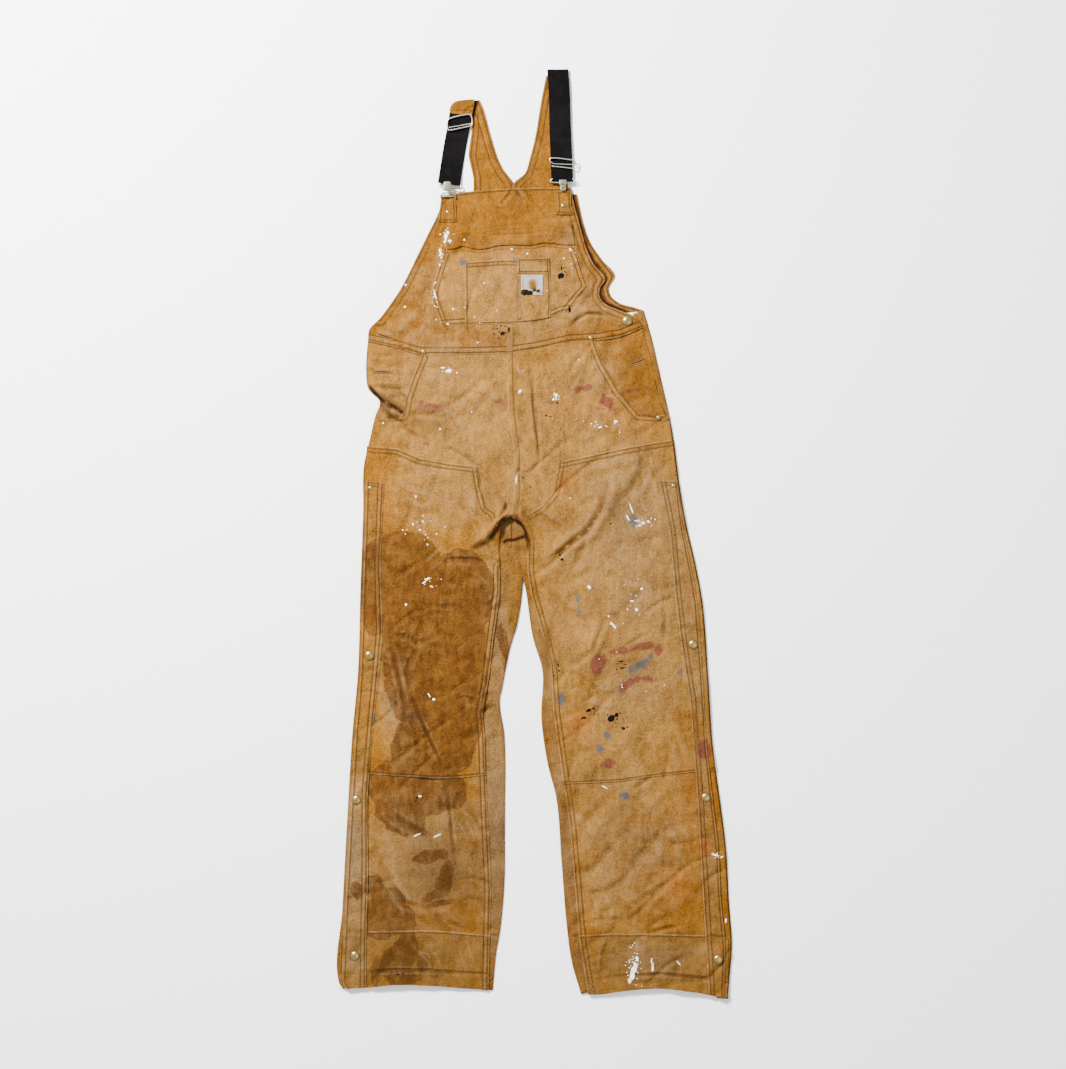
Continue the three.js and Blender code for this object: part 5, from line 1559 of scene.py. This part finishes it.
# ---- Stitching ----
# Rows of cream-tan thread, about eight stitches in 25 mm, faded and broken where the cloth has
# rubbed. Each stitch is a small pointed rod lying along its row.
THREAD = Finish("thread", Roughness=0.75, Specular_IOR_Level=0.1)
thread_worn = THREAD.noise(35, 4)
thread_colour = THREAD.mix(thread_worn.between(0.35, 0.65), rgb(206, 170, 122), rgb(158, 112, 64))
THREAD.feed(Base_Color=THREAD.tint(thread_colour, 0.85 + THREAD.noise(3, 2) * 0.3))
ROD = np.array([(-1, 0, 0), (0, 1, 0), (0, 0, 1), (0, -1, 0), (0, 0, -1), (1, 0, 0)], float)
ROD_FACES = np.array([
                         (0, 2, 1), (0, 3, 2), (0, 4, 3), (0, 1, 4), (5, 1, 2), (5, 2, 3), (5, 3, 4),
                         (5, 4, 1)])


STITCH_PITCH, STITCH_LENGTH, STITCH_HALF = 3.1, 2.7, 0.45
WORN_AWAY = 0.06


def offset_line(line, distance):
    """A line moved sideways, to its left where the distance is positive."""
    p = smooth_line(line, max(8, int(length_of(line) / 6)))
    t = np.gradient(p, axis=0)
    t /= np.hypot(t[:, 0], t[:, 1])[:, None]
    return p + distance * np.stack([-t[:, 1], t[:, 0]], 1)


def sew(name, rows, seed):
    """Stitches along each row, set on the topmost cloth, some of them worn away at random."""
    draw = np.random.default_rng(MAKER_SEED + seed)
    middles, headings = [], []
    for row in rows:
        p = smooth_line(row, max(2, int(length_of(row) / STITCH_PITCH)))
        step = np.gradient(p, axis=0)
        middles.append(p)
        headings.append(np.arctan2(step[:, 1], step[:, 0]))
    p, heading = np.vstack(middles), np.concatenate(headings)
    keep = draw.uniform(0, 1, len(p)) > WORN_AWAY + 0.25 * (ripple(p[:, 0], p[:, 1], 40, 77) > 0.55)
    p, heading = p[keep], heading[keep] + draw.normal(0, 0.06, int(keep.sum()))
    z = surface_at(p[:, 0], p[:, 1]) + 0.12
    c, s = np.cos(heading)[:, None], np.sin(heading)[:, None]
    size = draw.uniform(0.85, 1.1, (len(p), 1)) * STITCH_LENGTH / 2
    ux, uy, uz = ROD[None, :, 0] * size, ROD[None, :, 1] * STITCH_HALF, ROD[None, :, 2] * STITCH_HALF
    points = np.stack([p[:, :1] + ux * c - uy * s, p[:, 1:] + ux * s + uy * c, z[:, None] + uz], -1)
    faces = (ROD_FACES[None] + 6 * np.arange(len(p))[:, None, None]).reshape(-1, 3)
    piece = add_mesh(name, points.reshape(-1, 3), faces, smooth=False)
    piece.data.materials.append(THREAD.material)
    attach(piece, "root")
    return piece


def both(line, rows, side=1):
    """The lines of a seam's rows, to the left of its edge, or to the right where side is -1."""
    return [offset_line(line, side * row) for row in rows]


sew(
    "stitches_legs", [
        *both(INSEAM_SEWN_LEFT, INSEAM_ROWS), *both(INSEAM_SEWN_RIGHT, INSEAM_ROWS, -1),
        *both(KNEE_TOP_LEFT, TWO_ROWS, -1), *both(KNEE_TOP_RIGHT, TWO_ROWS, -1),
        offset_line(KNEE_END_LEFT, 2.4), offset_line(KNEE_END_RIGHT, 2.4),
        *both(KNEE_INNER_LEFT[-5:], TWO_ROWS), *both(KNEE_INNER_RIGHT[-4:], TWO_ROWS, -1)], seed=1)
sew(
    "stitches_flaps", [
        *both(FLAP_LEFT, TWO_ROWS, -1), *both(FLAP_RIGHT, TWO_ROWS), offset_line(FLAP_EDGE_LEFT, -2.4),
        offset_line(FLAP_EDGE_RIGHT, 2.4)], seed=2)
sew(
    "stitches_hems", [
        offset_line(HEM_SEAM_LEFT, -2.4), offset_line(HEM_SEAM_RIGHT, -2.4), offset_line(HEM_LEFT, 28),
        offset_line(HEM_RIGHT, 27)], seed=3)
sew(
    "stitches_hips", [
        *both(POCKET_LEFT, POCKET_ROWS), *both(POCKET_RIGHT, POCKET_ROWS, -1), offset_line(FLY, -8.5),
        [(-15, 300), (-9, 240), (-3, 190), (0, 150), (0, 120), (-8, 111), (-28, 106)],
        [(-8, 300), (-2, 240), (4, 190), (7, 150), (6, 117), (-4, 104), (-26, 99)],
        [(-275, 186), (-225, 187)], [(-275, 190), (-225, 191)], [(-262, 183), (-225, 183)],
        [(182, 212), (214, 212)], [(-289, 254), (-256, 251), (-224, 246)]], seed=4)
sew(
    "stitches_bib", [
        *both(WAIST, WAIST_ROWS), offset_line(BIB_TOP, -2.4), *both(ARM_SEAM_LEFT, BINDING_ROWS, -1),
        *both(BIB_RIGHT[1:], BINDING_ROWS), *both(CHEST_BOTTOM, TWO_ROWS), *both(CHEST_LEFT, TWO_ROWS, -1),
        *both(CHEST_RIGHT, TWO_ROWS), *[offset_line(BAND_UPPER, -row) for row in (2, 9, 17, 25)],
        offset_line([(-122, 470), (-60, 474), (26, 472)], -2.2),
        offset_line([(-122, 364), (-122, 470)], -2.2), [(-28, 372), (-28, 449)],
        [(24.5, 376), (25, 400), (24, 448)],
        *[offset_line(side, -2.2 if k in (1, 2) else 2.2) for k, side in enumerate(PEN_FLAP_SIDES)],
        [(-133, 542), (-166, 542)], [(37, 555), (65, 555)], [(39, 590), (40, 560)], [(60, 590), (60, 562)],
        [(-161, 583), (-166, 545)], [(-141, 583), (-139, 545)]], seed=5)
sew(
    "stitches_straps", [
        offset_line(STRAP_LEFT_INNER, 13), offset_line(STRAP_LEFT_OUTER[:5], -11),
        offset_line(STRAP_RIGHT_LEFT, -11), offset_line(STRAP_RIGHT_LEFT, -2.5),
        offset_line(STRAP_LEFT_INNER, 2.5), [(-146, 731), (-106, 728)]], seed=6)

# ---- Buttonholes and loose threads ----
# Keyhole buttonholes by the side openings, worked in thick thread, and the frayed ends of cloth and
# thread at the hem corners.
def thread_tube(name, paths, radius):
    """Thick threads as fine tubes, each point raised above the cloth by its third number."""
    parts = []
    for path in paths:
        xy = np.array([p[:2] for p in path], float)
        z = np.maximum(surface_at(xy[:, 0], xy[:, 1]) + np.array([p[2] for p in path]), radius + 0.05)
        parts.append(tube(np.column_stack([xy, z]), radius, 5))
    return hard_piece(name, joined(parts), THREAD.material, [])


thread_tube(
    "buttonholes", [
        [(-282, 280.5, 0.4), (-265, 281, 0.4), (-248, 280, 0.4)],
        [(-282, 277, 0.4), (-265, 277.5, 0.4), (-248, 276.8, 0.4)],
        [(-275, 347, 0.4), (-260, 342, 0.4), (-245, 338, 0.4)],
        [(-276, 343.5, 0.4), (-261, 338.5, 0.4), (-246, 334.5, 0.4)],
        [(164, 294, 0.4), (178, 299, 0.4), (190, 303.5, 0.4)],
        [(165, 290.5, 0.4), (179, 295.5, 0.4), (191, 300, 0.4)],
        [(143, 358, 0.4), (147, 360.5, 0.4), (151, 363, 0.4)]], 0.8)
fray = np.random.default_rng(MAKER_SEED + 9)
fray_paths = []
for x, y, count, reach_mm in (
    (-88, -780, 26, 9), (99, -788, 30, 9), (336, -732, 16, 6), (-334, -786, 10, 6), (-218, -424, 8, 5),
    (-100, -696, 6, 5), (332, -806, 8, 5)):
    for _ in range(count):
        a, b = fray.uniform(-1, 1, 2) * reach_mm
        turn, span = fray.uniform(0, 2 * math.pi), fray.uniform(3, 8)
        bend = fray.uniform(-1.5, 1.5)
        fray_paths.append([
                              (x + a, y + b, 0.2), (
                                  x + a + 0.5 * span * math.cos(turn) + bend,
                                  y + b + 0.5 * span * math.sin(turn), 0.9),
                              (x + a + span * math.cos(turn), y + b + span * math.sin(turn), 0.3)])
thread_tube("frayed_threads", fray_paths, 0.28)

# ---- Paint drops ----
# Dried white and black paint in small domes and runs that stand on the cloth. Older smears that
# have soaked in are part of the duck itself.
def paint(name, colour, rough, gloss):
    """Dried paint, mottled a little."""
    made = Finish(name, Roughness=rough, Specular_IOR_Level=gloss)
    made.feed(Base_Color=made.tint(colour, 0.9 + made.noise(3, 3) * 0.2))
    return made.material


PAINT_WHITE = paint("paint_white", (0.80, 0.77, 0.70, 1.0), 0.5, 0.4)
PAINT_BLACK = paint("paint_black", rgb(12, 10, 9), 0.8, 0.08)


def drops(name, places, material, seed, rough_edge):
    """Domed splashes: for each, rings of points round its middle, the outer ring made uneven by a
    few waves, each point set on the cloth below it and raised by a flat dome."""
    draw = np.random.default_rng(MAKER_SEED + seed)
    parts = []
    for x, y, rx, ry, *turn in places:
        n = 8 if max(rx, ry) < 1.6 else 14 if max(rx, ry) < 4 else 28
        angle = np.linspace(0, 2 * math.pi, n, endpoint=False)
        wobble = 1 + sum(
            rough_edge / k * draw.uniform(-1, 1) * np.sin(k * angle + draw.uniform(0, 6.3))
            for k in (2, 3, 5, 7))
        wobble = np.clip(wobble, 0.35, 1.6)
        turned = math.radians(turn[0] if turn else 0)
        c, s = math.cos(turned), math.sin(turned)
        rings = [(0.35, 0.55), (0.7, 0.45), (0.93, 0.22), (1.0, -0.35)]
        px = np.concatenate([[0.0], *[r * wobble * np.cos(angle) * rx for r, _ in rings]])
        py = np.concatenate([[0.0], *[r * wobble * np.sin(angle) * ry for r, _ in rings]])
        rise = np.concatenate([[0.55], *[np.full(n, h) for _, h in rings]])
        px, py = x + px * c - py * s, y + px * s + py * c
        z = np.maximum(surface_at(px, py) + rise + 0.12, 0.2)
        rows = len(rings)
        i = np.arange(rows * n).reshape(rows, n) + 1
        j = np.roll(i, -1, axis=1)
        faces = np.stack([i[:-1], i[1:], j[1:], j[:-1]], -1).reshape(-1, 4)
        low = len(px)
        fans = [[0, int(i[0, k]), int(j[0, k]), int(j[0, k])] for k in range(n)]
        fans += [[low, int(j[-1, k]), int(i[-1, k]), int(i[-1, k])] for k in range(n)]
        points = np.column_stack([px, py, z])
        points = np.vstack([points, [[x, y, z[-n:].min() - 0.1]]])
        parts.append((points, np.vstack([faces, fans])))
    return hard_piece(name, joined(parts), material, [])


def speckled(clusters, seed):
    """Fine spray round each place: a cluster is x, y, its two reaches and how many drops."""
    draw = np.random.default_rng(MAKER_SEED + seed)
    found = []
    for x, y, across, up, count in clusters:
        at = draw.normal(0, 0.5, (count, 2)) * (across, up) + (x, y)
        sizes = draw.uniform(0.5, 1.5, (count, 2))
        turns = draw.uniform(0, 180, count)
        found += np.column_stack([at, sizes, turns]).tolist()
    return found


# Drops: x, y, two radii and, where the drop is turned, by how many degrees.
WHITE_PLACES = [
    (-155, 515, 3, 4), (-152, 521, 2.5, 2.5), (-157, 505, 2, 3), (-148, 506, 3, 2), (-165, 487, 1.6, 6, 25),
    (-166, 465, 1.6, 2), (-123, 508, 1.8, 1.8), (-41, 492, 1.8, 1.5), (-14, 484, 1.6, 1.6),
    (60, 492, 1.8, 1.8), (-225, 430, 2, 1.6), (-226, 392, 1.8, 2.2), (-143, 388, 1.8, 1.8),
    (-152, 362, 2.2, 1.8), (-174, 413, 1.4, 8, 14), (-150, 281, 5, 3, 20), (-161, 286, 2, 2),
    (-27, 245, 3, 3), (36, 238, 2.4, 4), (31, 231, 2, 2), (139, 193, 3, 2), (112, 183, 4, 1.4, 10),
    (-207, 63, 1.8, 2.2), (-212, 15, 1.6, 2), (-200, 5, 1.6, 1.6), (-195, 20, 1.4, 1.6),
    (-171, -2, 1.5, 1.5), (-187, -20, 1.6, 1.6), (-165, 180, 1.8, 1.8), (166, 42, 1.2, 9, 22),
    (160, 26, 1.2, 6, 30), (186, 17, 3, 2, 20), (195, 20, 2, 2), (180, 13, 2, 1.6), (93, -94, 3, 3.4),
    (184, -97, 2.4, 2.2), (167, -118, 2.6, 2), (175, -133, 2.6, 3), (135, -160, 1.6, 7, 38),
    (131, -157, 2, 2), (-187, -80, 5, 1.6, 35), (-193, -86, 4, 1.3, 30), (-180, -93, 3, 1.6, -30),
    (-224, -124, 2, 2.6), (-184, -281, 1.2, 4, 30), (-176, -288, 2.6, 2.4), (168, -764, 5, 11, -12),
    (173, -749, 3.4, 6, 18), (163, -776, 3, 4.4), (176, -737, 2.6, 4.2, 10), (171, -757, 5.4, 4, 30),
    (203, -752, 1.8, 8, -4), (201, -741, 1.2, 5), (312, -558, 8, 1.2, -14), (322, -562, 2, 1.2),
    (-200, -456, 3, 1.6), (-33, 92, 1.2, 7), (-165, 518, 1.4, 1.4), (-205, -523, 7, 1, 25),
    (-170, -524, 7, 1, 25), (248, -745, 5, 1, -50), (330, -672, 1.6, 4), (120, -440, 6, 0.9, -30),
    (60, 60, 1.2, 1.2), (-100, 330, 1.4, 1.2), (20, 420, 1, 1), (-110, 210, 1.3, 1.3), (75, 300, 1.2, 1.2),
]
BLACK_PLACES = [
    (44, 446, 4.5, 6.5, 10), (45, 459, 1.5, 3), (59, 387, 3, 4.6), (54, 412, 1.3, 1.3), (-46, 352, 1.8, 5),
    (-57, 346, 4.4, 3.2, 20), (-66, 354, 1.4, 1.4), (-72, 345, 1.2, 1.4), (-60, 360, 1.3, 1.3),
    (-52, 358, 1.2, 1.5), (-64, 338, 1.4, 1), (38, 225, 1.6, 1.8), (37, 219, 1, 1), (19, 203, 1.5, 1.2),
    (-24, 195, 1.2, 1.2), (-22, 96, 1.3, 1.6), (-9, 80, 1.6, 1.6), (42, -38, 2.6, 2.6), (46, -46, 2.6, 2.2),
    (92, -307, 5.5, 2.4, 18), (100, -303, 3, 1.2, 35), (84, -320, 4, 2.2), (80, -322, 1.6, 1.2),
    (131, -321, 7, 5.4, 20), (140, -315, 4.5, 3.2, 30), (146, -312, 2, 1.2), (152, -338, 3.6, 2.2),
    (159, -336, 2.4, 0.9, 20), (40, -230, 1.2, 2), (38, -222, 1, 1.4), (41, -238, 1.4, 1),
    (130, 16, 1.4, 1.6), (-205, -458, 2, 1.6), (-207, -463, 1.3, 1.2), (8, 470, 1.1, 1.1),
    (-80, 440, 1.2, 1), (-238, -764, 2, 1.8), (-230, -762, 1.3, 1.3), (148, -222, 5, 1.1),
    (150, -234, 4, 1), (155, -228, 3, 0.8),
]
WHITE_SPRAY = [
    (-153, 514, 7, 22, 18), (-164, 482, 5, 22, 12), (-152, 283, 16, 10, 8), (186, 18, 24, 10, 12),
    (-195, 8, 40, 24, 12), (36, 236, 8, 10, 6), (316, -560, 16, 6, 8), (171, -752, 16, 34, 46),
    (-186, -84, 18, 10, 8), (120, 187, 30, 12, 10), (60, 480, 30, 30, 6), (150, -110, 60, 60, 8),
    (-110, 400, 90, 60, 6), (150, -250, 90, 60, 6), (-174, 405, 4, 30, 10),
]
BLACK_SPRAY = [
    (44, 446, 14, 12, 14), (-58, 348, 20, 14, 16), (133, -321, 16, 10, 12), (94, -308, 14, 8, 8),
    (-12, 416, 20, 6, 9), (40, -232, 5, 14, 6), (58, 390, 7, 8, 5), (30, 212, 24, 20, 6),
    (150, -230, 12, 8, 8), (44, -42, 5, 8, 4),
]
drops("paint_white", WHITE_PLACES + speckled(WHITE_SPRAY, 21), PAINT_WHITE, 11, 0.4)
drops("paint_black", BLACK_PLACES + speckled(BLACK_SPRAY, 22), PAINT_BLACK, 12, 0.6)

# ---- Floor, light and camera ----
# A plain pale floor, a strong soft light from the upper left, a weak one from the lower right,
# a pale surround, and a camera straight above.
bpy.ops.mesh.primitive_plane_add(size=12, location=(0, 0, -0.0004))
floor = bpy.context.object
floor.name = "studio_floor"
floor_finish = Finish("studio_floor", Roughness=0.9, Base_Color=(0.98, 0.98, 0.975, 1.0))
floor.data.materials.append(floor_finish.material)
world = bpy.data.worlds.new("studio")
world.use_nodes = True
world.node_tree.nodes["Background"].inputs["Color"].default_value = (1.0, 1.0, 1.0, 1.0)
world.node_tree.nodes["Background"].inputs["Strength"].default_value = 0.95
bpy.context.scene.world = world


def soft_light(name, place, aim, size, power):
    """A round lamp turned from its place to look at its aim."""
    lamp = bpy.data.lights.new(name, "AREA")
    lamp.shape, lamp.size, lamp.energy = "DISK", size, power
    holder = bpy.data.objects.new(name, lamp)
    bpy.context.scene.collection.objects.link(holder)
    holder.location = place
    direction = np.array(aim, float) - np.array(place, float)
    flat = math.hypot(direction[0], direction[1])
    holder.rotation_euler = (
        math.atan2(flat, -direction[2]), 0, math.atan2(direction[1], direction[0]) - math.pi / 2)


soft_light("key", (-1.7, 1.9, 2.2), (0, 0, 0), 0.7, 560)
soft_light("fill", (1.8, -1.2, 3.0), (0, 0, 0), 2.5, 32)
camera = bpy.data.cameras.new("camera")
camera.lens, camera.sensor_width = 85, 36
camera.clip_end = 30
viewer = bpy.data.objects.new("camera", camera)
viewer.location = (-0.0043, -0.0026, 4.38)
bpy.context.scene.collection.objects.link(viewer)
bpy.context.scene.camera = viewer
